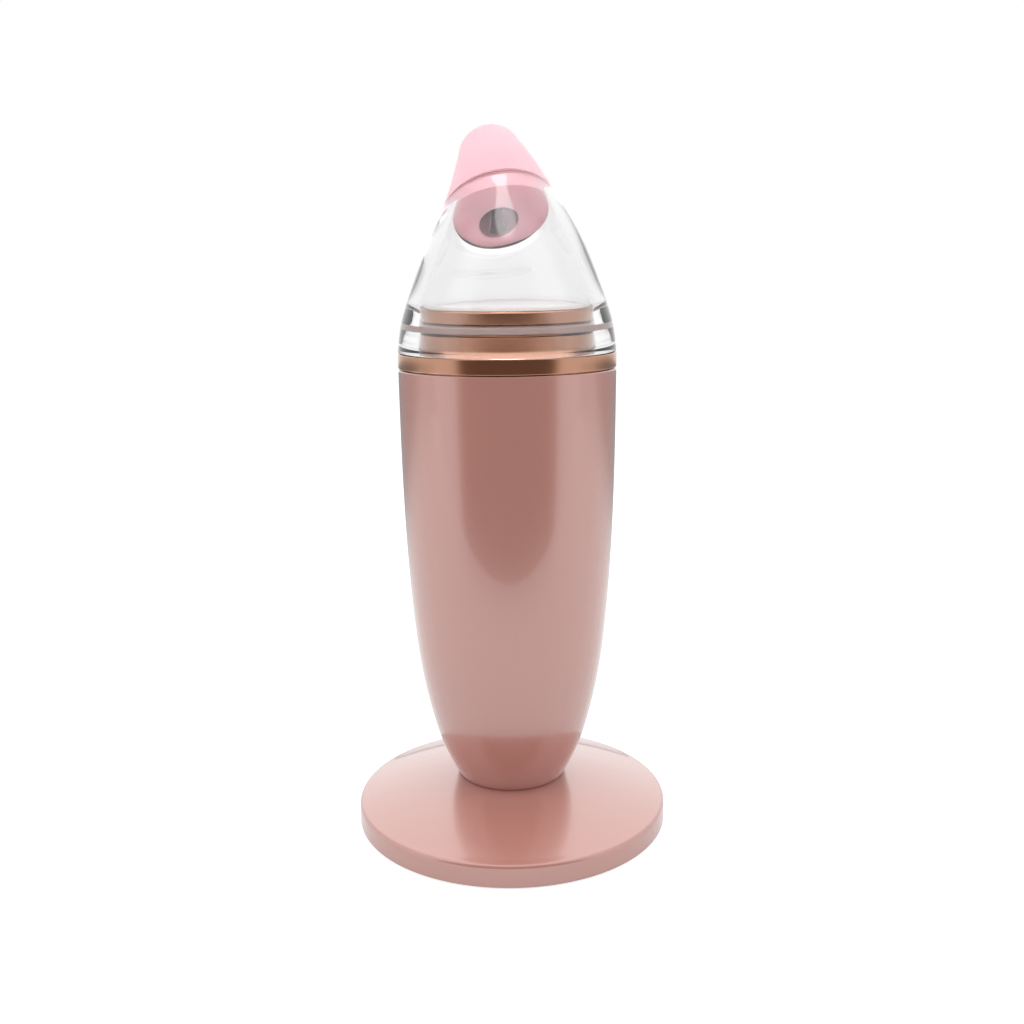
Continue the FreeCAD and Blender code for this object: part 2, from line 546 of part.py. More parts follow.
def make_pump():
    low, high = PUMP_Z
    screw_holes = spread(disc(PUMP_SCREW_R + FIT, low - OVER, PUMP_NOZZLE_TOP, x=PUMP_SCREW_RADIUS))
    case = disc(PUMP_R, low, high).cut(disc(PUMP_R - MOTOR_WALL, low + PUMP_FLOOR, high + OVER))
    case = case.cut(disc(PUMP_SHAFT_HOLE, low - OVER, high))
    pillars = spread(disc(PILLAR_R, low + OVER, WEB_Z[0] - FIT, x=PUMP_SCREW_RADIUS))
    save("pump_case", cut_all(fuse_all([case] + pillars).common(disc(PUMP_R, low, high)), screw_holes))

    hub_r, hub_hole = SWASH_HUB
    arm_half, arm_end = SWASH_ARM
    arms = spread(block((0, PUMP_CUP_RADIUS), both_ways(arm_half), SWASH_Z), 30)
    pads = spread(disc(arm_end, *SWASH_Z, x=PUMP_CUP_RADIUS), 30)
    plate = fuse_all([disc(hub_r, *SWASH_Z)] + arms + pads)
    save("swash_plate", plate.cut(disc(hub_hole, SWASH_Z[0] - OVER, SWASH_Z[1] + OVER)))

    cup_low, cup_floor = CUP_Z
    web_low, web_top = WEB_Z
    hollows = spread(disc(CUP_INNER, cup_floor, web_top + OVER, x=PUMP_CUP_RADIUS), 30)
    cups = spread(disc(CUP_OUTER, cup_low, web_low, x=PUMP_CUP_RADIUS), 30)
    stems = spread(disc(STEM_R, SWASH_Z[1], cup_low + 2 * FIT, x=PUMP_CUP_RADIUS), 30)
    web = disc(PUMP_R - MOTOR_WALL - 2 * FIT, web_low, web_top)
    save("pump_diaphragm", cut_all(fuse_all([web] + cups + stems), hollows + screw_holes))

    valve_r, valve_x = VALVE_HOLE
    valves = spread(disc(valve_r, high - OVER, VALVE_TOP + OVER, x=valve_x), 30)
    save("valve_plate", cut_all(disc(PUMP_R, high, VALVE_TOP), screw_holes + valves))
    chamber_r, chamber_top = COVER_CHAMBER
    cover = disc(PUMP_R, VALVE_TOP, PUMP_COVER_TOP).fuse(disc(HOSE_BORE - FIT, PUMP_COVER_TOP, PUMP_NOZZLE_TOP))
    cover = cut_all(cover, [disc(AIR_HOLE_R, VALVE_TOP, PUMP_NOZZLE_TOP + OVER)] + screw_holes)
    save("pump_cover", cover.cut(disc(chamber_r, VALVE_TOP - OVER, chamber_top)))
    head_r, head_top = PUMP_HEAD
    screw = disc(PUMP_SCREW_R, low + 3 * OVER, PUMP_COVER_TOP, x=PUMP_SCREW_RADIUS)
    screw = screw.fuse(disc(head_r, PUMP_COVER_TOP, head_top, x=PUMP_SCREW_RADIUS))
    save("pump_screws", Part.makeCompound(spread(screw)))


# ---- clear dome and silicone head --------------------------------------------------------
def make_dome():
    skin = bent_skin(LOWER_SKIN + [RIM] + UPPER_SKIN)
    wide = 2 * STAND_R
    above = at_rim(Part.makeBox(wide, wide, wide, Vector(-wide / 2, -wide / 2, 0)))
    foot_r, foot_top = DOME_FOOT
    skirt_r = LOWER_SKIN[0][2]
    foot = lathe(lines([(0, RING_TOP), (foot_r, RING_TOP), (skirt_r, foot_top), (0, foot_top)], closed=True))
    land = at_rim(Part.makeCylinder(RIM_BORE, RIM_LAND + OVER), RIM_LAND)
    cavity = bent_skin(CAVITY_SKIN + [(*along_tilt(RIM, -RIM_LAND), RIM_BORE, RIM[3])])
    dome = skin.cut(above).fuse(foot).removeSplitter()
    save("clear_dome", cut_all(dome, [disc(DOME_BORE, RING_TOP - OVER, DOME_BORE_TOP), cavity, land]))
    return skin.common(above)


def down_face(distance):
    """Lean and height of the point of the plug's face that lies this far down from its middle."""
    lean, height = along_tilt(RIM, -PLUG_DEPTH)
    tilt = radians(PLUG_TILT)
    return lean + distance * cos(tilt), height - distance * sin(tilt)


def tube_run():
    """Start, tilt and length of the inlet tube, from the plug's face to the mouth cup's floor."""
    start = down_face(TUBE_OFFSET)
    end = along_tilt(UPPER_SKIN[-1], -CUP_DEPTH)
    run = Vector(end[0] - start[0], 0, end[1] - start[1])
    return start, run.getAngle(UP) * 180 / pi, run.Length


def oval(level, leaning, low, high):
    """Prism of oval section about Z."""
    turn = radians(HEAD_AZIMUTH)
    long_way = Vector(-sin(turn), cos(turn), 0) * leaning
    outline = Part.Ellipse(long_way, Vector(cos(turn), sin(turn), 0) * level, Vector())
    prism = Part.Face(Part.Wire(outline.toShape())).extrude(Vector(0, 0, high - low))
    prism.translate(Vector(0, 0, low))
    return prism


def make_head(skin):
    mouth_lean, mouth_height, outer, mouth_tilt = UPPER_SKIN[-1]
    mouth = lean_place(mouth_lean, mouth_height, mouth_tilt)
    bend = [(outer - inward, up) for inward, up in LIP_BEND]
    lip = lathe([arc((outer, 0), *bend)] + lines([bend[-1], (0, LIP_HEIGHT), (0, 0), (outer, 0)]))
    lip.Placement = mouth
    depth = CUP_DEPTH + LIP_HEIGHT
    cup = Part.makeCone(CUP_R - CUP_TAPER, CUP_R + CUP_TAPER * OVER / depth, depth + OVER, Vector(0, 0, -CUP_DEPTH))
    cup.Placement = mouth
    deepest = 2 * PLUG_R
    below = Part.makeBox(2 * deepest, 2 * deepest, deepest, Vector(-deepest, -deepest, -deepest))
    below.Placement = lean_place(*down_face(0), PLUG_TILT)
    plug = at_rim(Part.makeCylinder(PLUG_R, deepest), deepest).cut(below)

    start, tilt, length = tube_run()
    print("tube tilt", round(tilt, 2), "length", round(length, 2))
    recess = oval(*RECESS_HALF, -RECESS_DEPTH / 2, RECESS_DEPTH)
    recess.Placement = lean_place(*down_face(RECESS_OFFSET), tilt).multiply(recess.Placement)
    along = lean_place(*start, tilt)
    bore = Part.makeCylinder(TUBE_R + TUBE_FIT, length + OVER)
    bore.Placement = along
    save("silicone_head", cut_all(fuse_all([skin, lip, plug]), [cup, recess, bore]))

    mouth_r, mouth_start = TUBE_MOUTH
    flare = Part.makeCone(mouth_r, TUBE_R, TUBE_FLARE_END - mouth_start, Vector(0, 0, mouth_start))
    stem = Part.makeCylinder(TUBE_R, length - TUBE_FLARE_END, Vector(0, 0, TUBE_FLARE_END))
    bore = Part.makeCylinder(TUBE_BORE, length - mouth_start + 2 * OVER, Vector(0, 0, mouth_start - OVER))
    tube = flare.fuse(stem).cut(bore).removeSplitter()
    tube.Placement = along
    save("inlet_tube", tube)


def main():
    os.makedirs("parts", exist_ok=True)
    make_stand()
    make_body()
    make_neck()
    make_button()
    make_board()
    make_chassis()
    make_power()
    make_motor()
    make_pump()
    make_head(make_dome())


main()
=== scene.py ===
"""Looks of a hand-held blackhead vacuum extractor that stands on its round stand.

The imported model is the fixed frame. The lacquered, plated, clear and silicone pieces that show
are made here as fine meshes in the places of their CAD nodes, and every other node keeps its
shape and gets a finish. Metres, +Z up, the plain front faces -Y.
"""
import logging
import math
from dataclasses import dataclass, field
from enum import Enum
from typing import Callable, Iterable, Sequence

import bmesh
import bpy
import numpy as np
from mathutils import Matrix, Vector


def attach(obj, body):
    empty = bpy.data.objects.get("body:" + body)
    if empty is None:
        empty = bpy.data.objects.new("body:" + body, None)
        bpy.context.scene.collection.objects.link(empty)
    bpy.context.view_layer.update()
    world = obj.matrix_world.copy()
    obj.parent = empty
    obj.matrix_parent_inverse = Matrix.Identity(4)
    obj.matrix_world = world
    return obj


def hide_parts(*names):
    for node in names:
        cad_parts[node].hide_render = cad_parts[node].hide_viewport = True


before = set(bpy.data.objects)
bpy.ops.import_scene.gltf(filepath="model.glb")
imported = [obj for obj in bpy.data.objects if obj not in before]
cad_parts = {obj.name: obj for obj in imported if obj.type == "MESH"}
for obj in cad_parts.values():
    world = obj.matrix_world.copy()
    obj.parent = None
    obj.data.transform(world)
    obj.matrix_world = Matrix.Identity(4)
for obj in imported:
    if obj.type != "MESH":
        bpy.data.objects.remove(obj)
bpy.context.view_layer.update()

log = logging.getLogger("extractor")

MM = 0.001
UP = Vector((0.0, 0.0, 1.0))
Ring = list[Vector]
Outline = list[tuple[float, float]]
Colour = tuple[float, float, float]


class Body(str, Enum):
    """Moving bodies that the pieces made here ride on."""

    STAND = "stand"
    HANDLE = "handle"
    CHAMBER = "chamber"
    HEAD = "head"
    BUTTON = "button"


# ---- mesh making -------------------------------------------------------------------------
def corner(points: Sequence[tuple[float, float, float]], steps: int = 6) -> Outline:
    """Round the corners of a closed outline.

    Args:
        points: (radius, height, rounding) of each corner, in millimetres.
        steps: pieces that a rounded corner is made of.

    Returns:
        The outline's (radius, height) points, in millimetres.
    """
    outline: Outline = []
    count = len(points)
    for i, (r, z, rounding) in enumerate(points):
        here = Vector((r, z))
        if rounding <= 0:
            outline.append((r, z))
            continue
        before = Vector(points[i - 1][:2]) - here
        after = Vector(points[(i + 1) % count][:2]) - here
        start = here + before.normalized() * min(rounding, before.length * 0.49)
        end = here + after.normalized() * min(rounding, after.length * 0.49)
        for k in range(steps + 1):
            t = k / steps
            spot = start * (1 - t) ** 2 + here * (2 * t * (1 - t)) + end * t ** 2
            outline.append((spot.x, spot.y))
    return outline


def smooth_through(knots: Sequence[Sequence[float]], count: int) -> np.ndarray:
    """Natural cubic curve through rows of values, spaced by the distance between rows.

    Args:
        knots: one row of values for each knot.
        count: number of rows to give back.

    Returns:
        An array with count rows, evenly spaced along the curve.
    """
    rows = np.array(knots, float)
    gaps = np.linalg.norm(np.diff(rows, axis=0), axis=1)
    place = np.concatenate([[0.0], np.cumsum(gaps)])
    size = len(rows)
    matrix = np.eye(size)
    right = np.zeros_like(rows)
    for i in range(1, size - 1):
        matrix[i, i - 1:i + 2] = (gaps[i - 1], 2 * (gaps[i - 1] + gaps[i]), gaps[i])
        right[i] = 6 * ((rows[i + 1] - rows[i]) / gaps[i] - (rows[i] - rows[i - 1]) / gaps[i - 1])
    bend = np.linalg.solve(matrix, right)
    out = []
    for spot in np.linspace(0.0, place[-1], count):
        i = min(int(np.searchsorted(place, spot, side="right")) - 1, size - 2)
        a, b, h = place[i + 1] - spot, spot - place[i], gaps[i]
        out.append(bend[i] * a ** 3 / (6 * h) + bend[i + 1] * b ** 3 / (6 * h)
                   + (rows[i] / h - bend[i] * h / 6) * a + (rows[i + 1] / h - bend[i + 1] * h / 6) * b)
    return np.array(out)


def new_object(name: str, mesh: bpy.types.Mesh, sharp: float = 35.0) -> bpy.types.Object:
    """Link a mesh as a smooth-shaded object whose edges above an angle stay sharp.

    Args:
        name: the object's name.
        mesh: the mesh that it shows.
        sharp: edges that turn by more degrees than this stay sharp.

    Returns:
        The new object.
    """
    for face in mesh.polygons:
        face.use_smooth = True
    mesh.set_sharp_from_angle(angle=math.radians(sharp))
    piece = bpy.data.objects.new(name, mesh)
    bpy.context.scene.collection.objects.link(piece)
    return piece


def skin_rings(name: str, rings: Sequence[Ring], closed: bool = False,
               sharp: float = 35.0) -> bpy.types.Object:
    """Join rings of points with faces.

    Args:
        name: the piece's name.
        rings: rings with the same number of points, in metres.
        closed: join the last ring to the first, else cap both ends.
        sharp: edges that turn by more degrees than this stay sharp.

    Returns:
        The new object, with its faces turned outwards.
    """
    shape = bmesh.new()
    made = [[shape.verts.new(p) for p in ring] for ring in rings]
    count = len(rings[0])
    pairs = list(zip(made, made[1:])) + ([(made[-1], made[0])] if closed else [])
    for low, high in pairs:
        for i in range(count):
            j = (i + 1) % count
            shape.faces.new((low[i], low[j], high[j], high[i]))
    if not closed:
        shape.faces.new(list(reversed(made[0])))
        shape.faces.new(made[-1])
    bmesh.ops.remove_doubles(shape, verts=shape.verts, dist=1e-7)
    bmesh.ops.dissolve_degenerate(shape, edges=shape.edges, dist=1e-7)
    wires = [edge for edge in shape.edges if not edge.link_faces]
    bmesh.ops.delete(shape, geom=wires, context="EDGES")
    bmesh.ops.recalc_face_normals(shape, faces=shape.faces)
    mesh = bpy.data.meshes.new(name)
    shape.to_mesh(mesh)
    shape.free()
    return new_object(name, mesh, sharp)


def lathe(name: str, outline: Outline, steps: int = 192, place: Matrix | None = None,
          sharp: float = 35.0) -> bpy.types.Object:
    """Turn a closed outline about the Z axis.

    Args:
        name: the piece's name.
        outline: (radius, height) points in millimetres, in order.
        steps: faces round the axis.
        place: where the axis stands, or None for the Z axis.
        sharp: edges that turn by more degrees than this stay sharp.

    Returns:
        The new object.
    """
    turns = [2 * math.pi * i / steps for i in range(steps)]
    place = place or Matrix.Identity(4)
    rings = [[place @ Vector((r * math.cos(t) * MM, r * math.sin(t) * MM, z * MM)) for t in turns]
             for r, z in outline]
    return skin_rings(name, rings, closed=True, sharp=sharp)


def carve(piece: bpy.types.Object, tools: Sequence[bpy.types.Object]) -> None:
    """Cut tools out of a piece and remove them.

    Args:
        piece: the object that is cut.
        tools: closed objects in the shape of the openings.
    """
    for tool in tools:
        cut = piece.modifiers.new("cut", "BOOLEAN")
        cut.operation = "DIFFERENCE"
        cut.solver = "EXACT"
        cut.object = tool
    bpy.context.view_layer.update()
    made = bpy.data.meshes.new_from_object(piece.evaluated_get(bpy.context.evaluated_depsgraph_get()))
    piece.modifiers.clear()
    piece.data = made
    for tool in tools:
        bpy.data.objects.remove(tool)


def turned_normals(piece: bpy.types.Object, reach: float = 25.0) -> None:
    """Give a carved turned piece the even normals that it had before it was carved.

    Args:
        piece: a piece turned about the Z axis.
        reach: a face that leans further than this from its neighbours keeps its own normal.
    """
    mesh = piece.data
    slopes: dict[int, list[Vector]] = {}
    for face in mesh.polygons:
        out = Vector((face.center.x, face.center.y, 0)).normalized()
        if abs(face.normal.dot(UP.cross(out))) < 0.02:
            for v in face.vertices:
                slopes.setdefault(v, []).append(Vector((face.normal.dot(out), 0, face.normal.z)))
    normals = []
    limit = math.cos(math.radians(reach))
    for face in mesh.polygons:
        for v in face.vertices:
            spot = mesh.vertices[v].co
            out = Vector((spot.x, spot.y, 0)).normalized()
            close = [s for s in slopes.get(v, []) if (out * s.x + UP * s.z).dot(face.normal) > limit]
            mean = sum(close, Vector())
            turned = (out * mean.x + UP * mean.z).normalized() if close else face.normal
            normals.append(turned if turned.dot(face.normal) > limit else face.normal)
    mesh.normals_split_custom_set([tuple(n) for n in normals])


def finish_piece(piece: bpy.types.Object, body: Body, material: bpy.types.Material,
                 stands_for: Iterable[str] = ()) -> bpy.types.Object:
    """Dress a piece, let it ride on its body and hide the CAD nodes that it stands for.

    Args:
        piece: the object to dress.
        body: the moving body that it belongs to.
        material: its finish.
        stands_for: the CAD nodes that it is shown in place of.

    Returns:
        The piece.
    """
    piece.data.materials.clear()
    piece.data.materials.append(material)
    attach(piece, body.value)
    nodes = tuple(stands_for)
    if nodes:
        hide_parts(*nodes)
    log.info("%s rides on %s in %s", piece.name, body.value, material.name)
    return piece


# ---- shared shading groups ---------------------------------------------------------------
WORN_COLOUR = (0.92, 0.86, 0.82, 1.0)
WEAR_START = 0.52
WEAR_GAIN = 9.0
WEAR_NOISE_SCALE = 450.0
TURNED_LINE_PITCH = 0.0022
PORE_WALL_GAIN = 2.2
RED_REACHES_FURTHER = (1.0, 0.45, 0.4)


class Effect(str, Enum):
    """Surface effects that several materials share."""

    GRAIN = "soft_grain"
    TURNED = "turned_lines"
    FLAKE = "pearl_flake"
    FOAM = "open_foam"


def socket(tree: bpy.types.NodeTree, name: str, kind: str, incoming: bool, value: object = None) -> None:
    """Add one named socket to a group.

    Args:
        tree: the group.
        name: the socket's name.
        kind: Color or Float.
        incoming: True for an input.
        value: the input's value while nothing feeds it.
    """
    made = tree.interface.new_socket(name=name, in_out="INPUT" if incoming else "OUTPUT",
                                     socket_type="NodeSocket" + kind)
    if value is not None:
        made.default_value = value


def start_group(effect: Effect) -> tuple[bpy.types.NodeTree, bpy.types.Node, bpy.types.Node]:
    """Make a group with the sockets that every effect has.

    Args:
        effect: which effect the group is for.

    Returns:
        The group's tree, its input node and its output node.
    """
    tree = bpy.data.node_groups.new(effect.value, "ShaderNodeTree")
    socket(tree, "Colour", "Color", True, (0.8, 0.8, 0.8, 1.0))
    socket(tree, "Second Colour", "Color", True, (0.6, 0.6, 0.6, 1.0))
    socket(tree, "Amount", "Float", True, 0.2)
    socket(tree, "Scale", "Float", True, 800.0)
    socket(tree, "Roughness", "Float", True, 0.4)
    socket(tree, "Roughness Swing", "Float", True, 0.1)
    socket(tree, "Wear", "Float", True, 0.0)
    socket(tree, "Colour", "Color", False)
    socket(tree, "Roughness", "Float", False)
    socket(tree, "Height", "Float", False)
    return tree, tree.nodes.new("NodeGroupInput"), tree.nodes.new("NodeGroupOutput")


def maths(tree: bpy.types.NodeTree, operation: str, first: object, second: object) -> bpy.types.NodeSocket:
    """Math node on two values or sockets.

    Args:
        tree: the node tree.
        operation: the node's operation.
        first: a socket or a number.
        second: a socket or a number.

    Returns:
        The node's result.
    """
    node = tree.nodes.new("ShaderNodeMath")
    node.operation = operation
    for place, value in enumerate((first, second)):
        if isinstance(value, bpy.types.NodeSocket):
            tree.links.new(value, node.inputs[place])
        else:
            node.inputs[place].default_value = value
    return node.outputs[0]


def blend_colour(tree: bpy.types.NodeTree, factor: bpy.types.NodeSocket, first: bpy.types.NodeSocket,
                 second: bpy.types.NodeSocket) -> bpy.types.NodeSocket:
    """Mix two colours by a factor.

    Args:
        tree: the node tree.
        factor: how much of the second colour shows.
        first: the first colour.
        second: the second colour.

    Returns:
        The mixed colour.
    """
    node = tree.nodes.new("ShaderNodeMix")
    node.data_type = "RGBA"
    tree.links.new(factor, node.inputs["Factor"])
    tree.links.new(first, node.inputs["A"])
    tree.links.new(second, node.inputs["B"])
    return node.outputs["Result"]


def object_place(tree: bpy.types.NodeTree) -> bpy.types.NodeSocket:
    """Object coordinates, in metres."""
    return tree.nodes.new("ShaderNodeTexCoord").outputs["Object"]


def edge_mask(tree: bpy.types.NodeTree, amount: bpy.types.NodeSocket) -> bpy.types.NodeSocket:
    """Mask that is high on worn outer edges, broken up by noise.

    Args:
        tree: the node tree.
        amount: how strong the wear is.

    Returns:
        The mask, from 0 to 1.
    """
    point = tree.nodes.new("ShaderNodeNewGeometry").outputs["Pointiness"]
    edge = maths(tree, "MULTIPLY", maths(tree, "SUBTRACT", point, WEAR_START), WEAR_GAIN)
    noise = tree.nodes.new("ShaderNodeTexNoise")
    noise.inputs["Scale"].default_value = WEAR_NOISE_SCALE
    tree.links.new(object_place(tree), noise.inputs["Vector"])
    mask = maths(tree, "MULTIPLY", edge, noise.outputs["Fac"])
    scaled = tree.nodes.new("ShaderNodeMath")
    scaled.operation = "MULTIPLY"
    scaled.use_clamp = True
    tree.links.new(mask, scaled.inputs[0])
    tree.links.new(amount, scaled.inputs[1])
    return scaled.outputs[0]


def grain_value(tree: bpy.types.NodeTree, inlet: bpy.types.Node) -> bpy.types.NodeSocket:
    """Fine even noise.

    Args:
        tree: the group.
        inlet: its input node, which gives the scale.

    Returns:
        The pattern, from 0 to 1.
    """
    noise = tree.nodes.new("ShaderNodeTexNoise")
    noise.inputs["Detail"].default_value = 3.0
    tree.links.new(object_place(tree), noise.inputs["Vector"])
    tree.links.new(inlet.outputs["Scale"], noise.inputs["Scale"])
    return noise.outputs["Fac"]


def turned_value(tree: bpy.types.NodeTree, inlet: bpy.types.Node) -> bpy.types.NodeSocket:
    """Hair-fine lines that run round the Z axis.

    Args:
        tree: the group.
        inlet: its input node, which gives the scale.

    Returns:
        The pattern, from 0 to 1.
    """
    parts = tree.nodes.new("ShaderNodeSeparateXYZ")
    tree.links.new(object_place(tree), parts.inputs[0])
    x, y, z = parts.outputs
    angle = maths(tree, "ARCTAN2", y, x)
    reach = maths(tree, "POWER", maths(tree, "ADD", maths(tree, "MULTIPLY", x, x),
                                       maths(tree, "MULTIPLY", y, y)), 0.5)
    joined = tree.nodes.new("ShaderNodeCombineXYZ")
    tree.links.new(maths(tree, "MULTIPLY", angle, TURNED_LINE_PITCH), joined.inputs[0])
    tree.links.new(reach, joined.inputs[1])
    tree.links.new(z, joined.inputs[2])
    noise = tree.nodes.new("ShaderNodeTexNoise")
    noise.inputs["Detail"].default_value = 4.0
    noise.inputs["Roughness"].default_value = 0.7
    tree.links.new(joined.outputs[0], noise.inputs["Vector"])
    tree.links.new(inlet.outputs["Scale"], noise.inputs["Scale"])
    return noise.outputs["Fac"]


def flake_value(tree: bpy.types.NodeTree, inlet: bpy.types.Node) -> bpy.types.NodeSocket:
    """Tiny flakes, each with its own brightness.

    Args:
        tree: the group.
        inlet: its input node, which gives the scale.

    Returns:
        The pattern, from 0 to 1.
    """
    cells = tree.nodes.new("ShaderNodeTexVoronoi")
    tree.links.new(object_place(tree), cells.inputs["Vector"])
    tree.links.new(inlet.outputs["Scale"], cells.inputs["Scale"])
    parts = tree.nodes.new("ShaderNodeSeparateColor")
    tree.links.new(cells.outputs["Color"], parts.inputs[0])
    return parts.outputs[0]


def foam_value(tree: bpy.types.NodeTree, inlet: bpy.types.Node) -> bpy.types.NodeSocket:
    """Open pores between thin walls.

    Args:
        tree: the group.
        inlet: its input node, which gives the scale.

    Returns:
        The pattern, from 0 to 1.
    """
    cells = tree.nodes.new("ShaderNodeTexVoronoi")
    cells.feature = "DISTANCE_TO_EDGE"
    tree.links.new(object_place(tree), cells.inputs["Vector"])
    tree.links.new(inlet.outputs["Scale"], cells.inputs["Scale"])
    wall = maths(tree, "MULTIPLY", cells.outputs["Distance"], PORE_WALL_GAIN)
    return maths(tree, "SUBTRACT", 1.0, wall)


PATTERNS: dict[Effect, Callable[[bpy.types.NodeTree, bpy.types.Node], bpy.types.NodeSocket]] = {
    Effect.GRAIN: grain_value,
    Effect.TURNED: turned_value,
    Effect.FLAKE: flake_value,
    Effect.FOAM: foam_value,
}


def effect_group(effect: Effect) -> bpy.types.NodeTree:
    """Build an effect's group once and return it.

    Args:
        effect: which effect.

    Returns:
        The group's tree.
    """
    if effect.value in bpy.data.node_groups:
        return bpy.data.node_groups[effect.value]
    tree, inlet, outlet = start_group(effect)
    value = PATTERNS[effect](tree, inlet)
    factor = maths(tree, "MULTIPLY", value, inlet.outputs["Amount"])
    colour = blend_colour(tree, factor, inlet.outputs["Colour"], inlet.outputs["Second Colour"])
    worn = edge_mask(tree, inlet.outputs["Wear"])
    pale = tree.nodes.new("ShaderNodeRGB")
    pale.outputs[0].default_value = WORN_COLOUR
    colour = blend_colour(tree, worn, colour, pale.outputs[0])
    swing = maths(tree, "MULTIPLY", maths(tree, "SUBTRACT", value, 0.5), inlet.outputs["Roughness Swing"])
    tree.links.new(colour, outlet.inputs["Colour"])
    tree.links.new(maths(tree, "ADD", inlet.outputs["Roughness"], swing), outlet.inputs["Roughness"])
    tree.links.new(value, outlet.inputs["Height"])
    return tree


# ---- finishes ----------------------------------------------------------------------------
MATERIALS: dict[str, bpy.types.Material] = {}


@dataclass(frozen=True)
class Finish:
    """How one surface looks. Colours are linear."""

    name: str
    colour: Colour
    second: Colour
    roughness: float = 0.45
    swing: float = 0.1
    metallic: float = 0.0
    effect: Effect = Effect.GRAIN
    amount: float = 0.3
    scale: float = 900.0
    wear: float = 0.0
    bump: float = 0.1
    depth: float = 0.00002
    coat: float = 0.0
    coat_roughness: float = 0.04
    transmission: float = 0.0
    ior: float = 1.5
    subsurface: float = 0.0
    subsurface_reach: float = 0.001
    sheen: float = 0.0

    def material(self) -> bpy.types.Material:
        """Build the finish's material once and return it.

        Returns:
            The material.
        """
        if self.name in MATERIALS:
            return MATERIALS[self.name]
        made = bpy.data.materials.new(self.name)
        MATERIALS[self.name] = made
        made.use_nodes = True
        tree = made.node_tree
        shader = tree.nodes["Principled BSDF"]
        group = tree.nodes.new("ShaderNodeGroup")
        group.node_tree = effect_group(self.effect)
        group.inputs["Colour"].default_value = (*self.colour, 1.0)
        group.inputs["Second Colour"].default_value = (*self.second, 1.0)
        group.inputs["Amount"].default_value = self.amount
        group.inputs["Scale"].default_value = self.scale
        group.inputs["Roughness"].default_value = self.roughness
        group.inputs["Roughness Swing"].default_value = self.swing
        group.inputs["Wear"].default_value = self.wear
        tree.links.new(group.outputs["Colour"], shader.inputs["Base Color"])
        tree.links.new(group.outputs["Roughness"], shader.inputs["Roughness"])
        if self.bump > 0:
            bump = tree.nodes.new("ShaderNodeBump")
            bump.inputs["Strength"].default_value = self.bump
            bump.inputs["Distance"].default_value = self.depth
            tree.links.new(group.outputs["Height"], bump.inputs["Height"])
            tree.links.new(bump.outputs["Normal"], shader.inputs["Normal"])
        self.set_plain_values(shader)
        return made

    def set_plain_values(self, shader: bpy.types.Node) -> None:
        """Set what is the same all over the surface on the shader's own sockets.

        Args:
            shader: the material's own shader.
        """
        values = {"Metallic": self.metallic, "IOR": self.ior, "Coat Weight": self.coat,
                  "Coat Roughness": self.coat_roughness, "Transmission Weight": self.transmission,
                  "Subsurface Weight": self.subsurface, "Subsurface Scale": self.subsurface_reach,
                  "Sheen Weight": self.sheen}
        for name, value in values.items():
            shader.inputs[name].default_value = value
        if self.subsurface > 0:
            shader.inputs["Subsurface Radius"].default_value = RED_REACHES_FURTHER


LACQUER = Finish("pearl_rose_lacquer", (0.46, 0.205, 0.17), (0.53, 0.26, 0.22), roughness=0.22, swing=0.05,
                 metallic=0.12, effect=Effect.FLAKE, amount=0.25, scale=9000.0, bump=0.03,
                 coat=1.0, coat_roughness=0.05, ior=2.1)
COPPER = Finish("turned_copper_plate", (0.40, 0.205, 0.135), (0.48, 0.275, 0.19), roughness=0.2, swing=0.14,
                metallic=1.0, effect=Effect.TURNED, amount=0.5, scale=9000.0, bump=0.12, wear=0.4)
# Painted light: the collar's turned copper plate made lighter for the ring, so its dim mirrored middle shows
# less dark.
RING_COPPER_PAINTED_LIGHT = Finish("copper_plate_painted_lighter", (0.52, 0.275, 0.18), (0.60, 0.34, 0.24), roughness=0.2,
                     swing=0.14, metallic=1.0, effect=Effect.TURNED, amount=0.5, scale=9000.0, bump=0.12,
                     wear=0.4)
ACRYLIC = Finish("polished_clear_acrylic", (0.965, 0.965, 0.97), (0.955, 0.955, 0.965), roughness=0.0,
                 swing=0.004, amount=0.2, scale=120.0, bump=0.0, transmission=1.0, ior=1.49)
SILICONE = Finish("matt_pink_silicone", (0.88, 0.46, 0.52), (0.93, 0.53, 0.58), roughness=0.5, swing=0.12,
                  amount=0.4, scale=2200.0, bump=0.15, depth=0.00001, subsurface=0.6,
                  subsurface_reach=0.003, ior=1.41)
SEAL = Finish("rosy_seal_rubber", (0.60, 0.45, 0.42), (0.68, 0.53, 0.50), roughness=0.25, swing=0.08,
              scale=1500.0, transmission=0.35, ior=1.43)
# Painted shade: a darker copy of the pink silicone that darkens the recess, where the same silicone only lies
# in shade.
RECESS_PAINTED_SHADE = Finish("painted_shade_pink_silicone", (0.42, 0.19, 0.25), (0.48, 0.23, 0.29), roughness=0.5, swing=0.12,
                amount=0.4, scale=2200.0, bump=0.15, depth=0.00001)
TUBE = Finish("clear_rosy_tube", (0.55, 0.45, 0.48), (0.50, 0.40, 0.43), roughness=0.0, swing=0.004,
              amount=0.2, scale=120.0, bump=0.0, transmission=1.0, ior=1.49)
FOAM = Finish("cream_filter_foam", (0.90, 0.89, 0.87), (0.84, 0.82, 0.80), roughness=0.85,
              effect=Effect.FOAM, amount=0.35, scale=2200.0, bump=0.6, depth=0.0001, sheen=0.2)
BUTTON = Finish("satin_pearl_button", (0.66, 0.43, 0.38), (0.80, 0.58, 0.52), roughness=0.34, metallic=0.6,
                effect=Effect.FLAKE, amount=0.25, scale=7000.0, bump=0.03, coat=0.4, coat_roughness=0.1)
BLACK_RUBBER = Finish("black_foot_rubber", (0.025, 0.025, 0.025), (0.05, 0.05, 0.05), roughness=0.8,
                      scale=1600.0, bump=0.4)
GREY_PLASTIC = Finish("grey_moulded_plastic", (0.085, 0.085, 0.09), (0.11, 0.11, 0.115), roughness=0.5,
                      scale=1800.0, bump=0.25, wear=0.25)
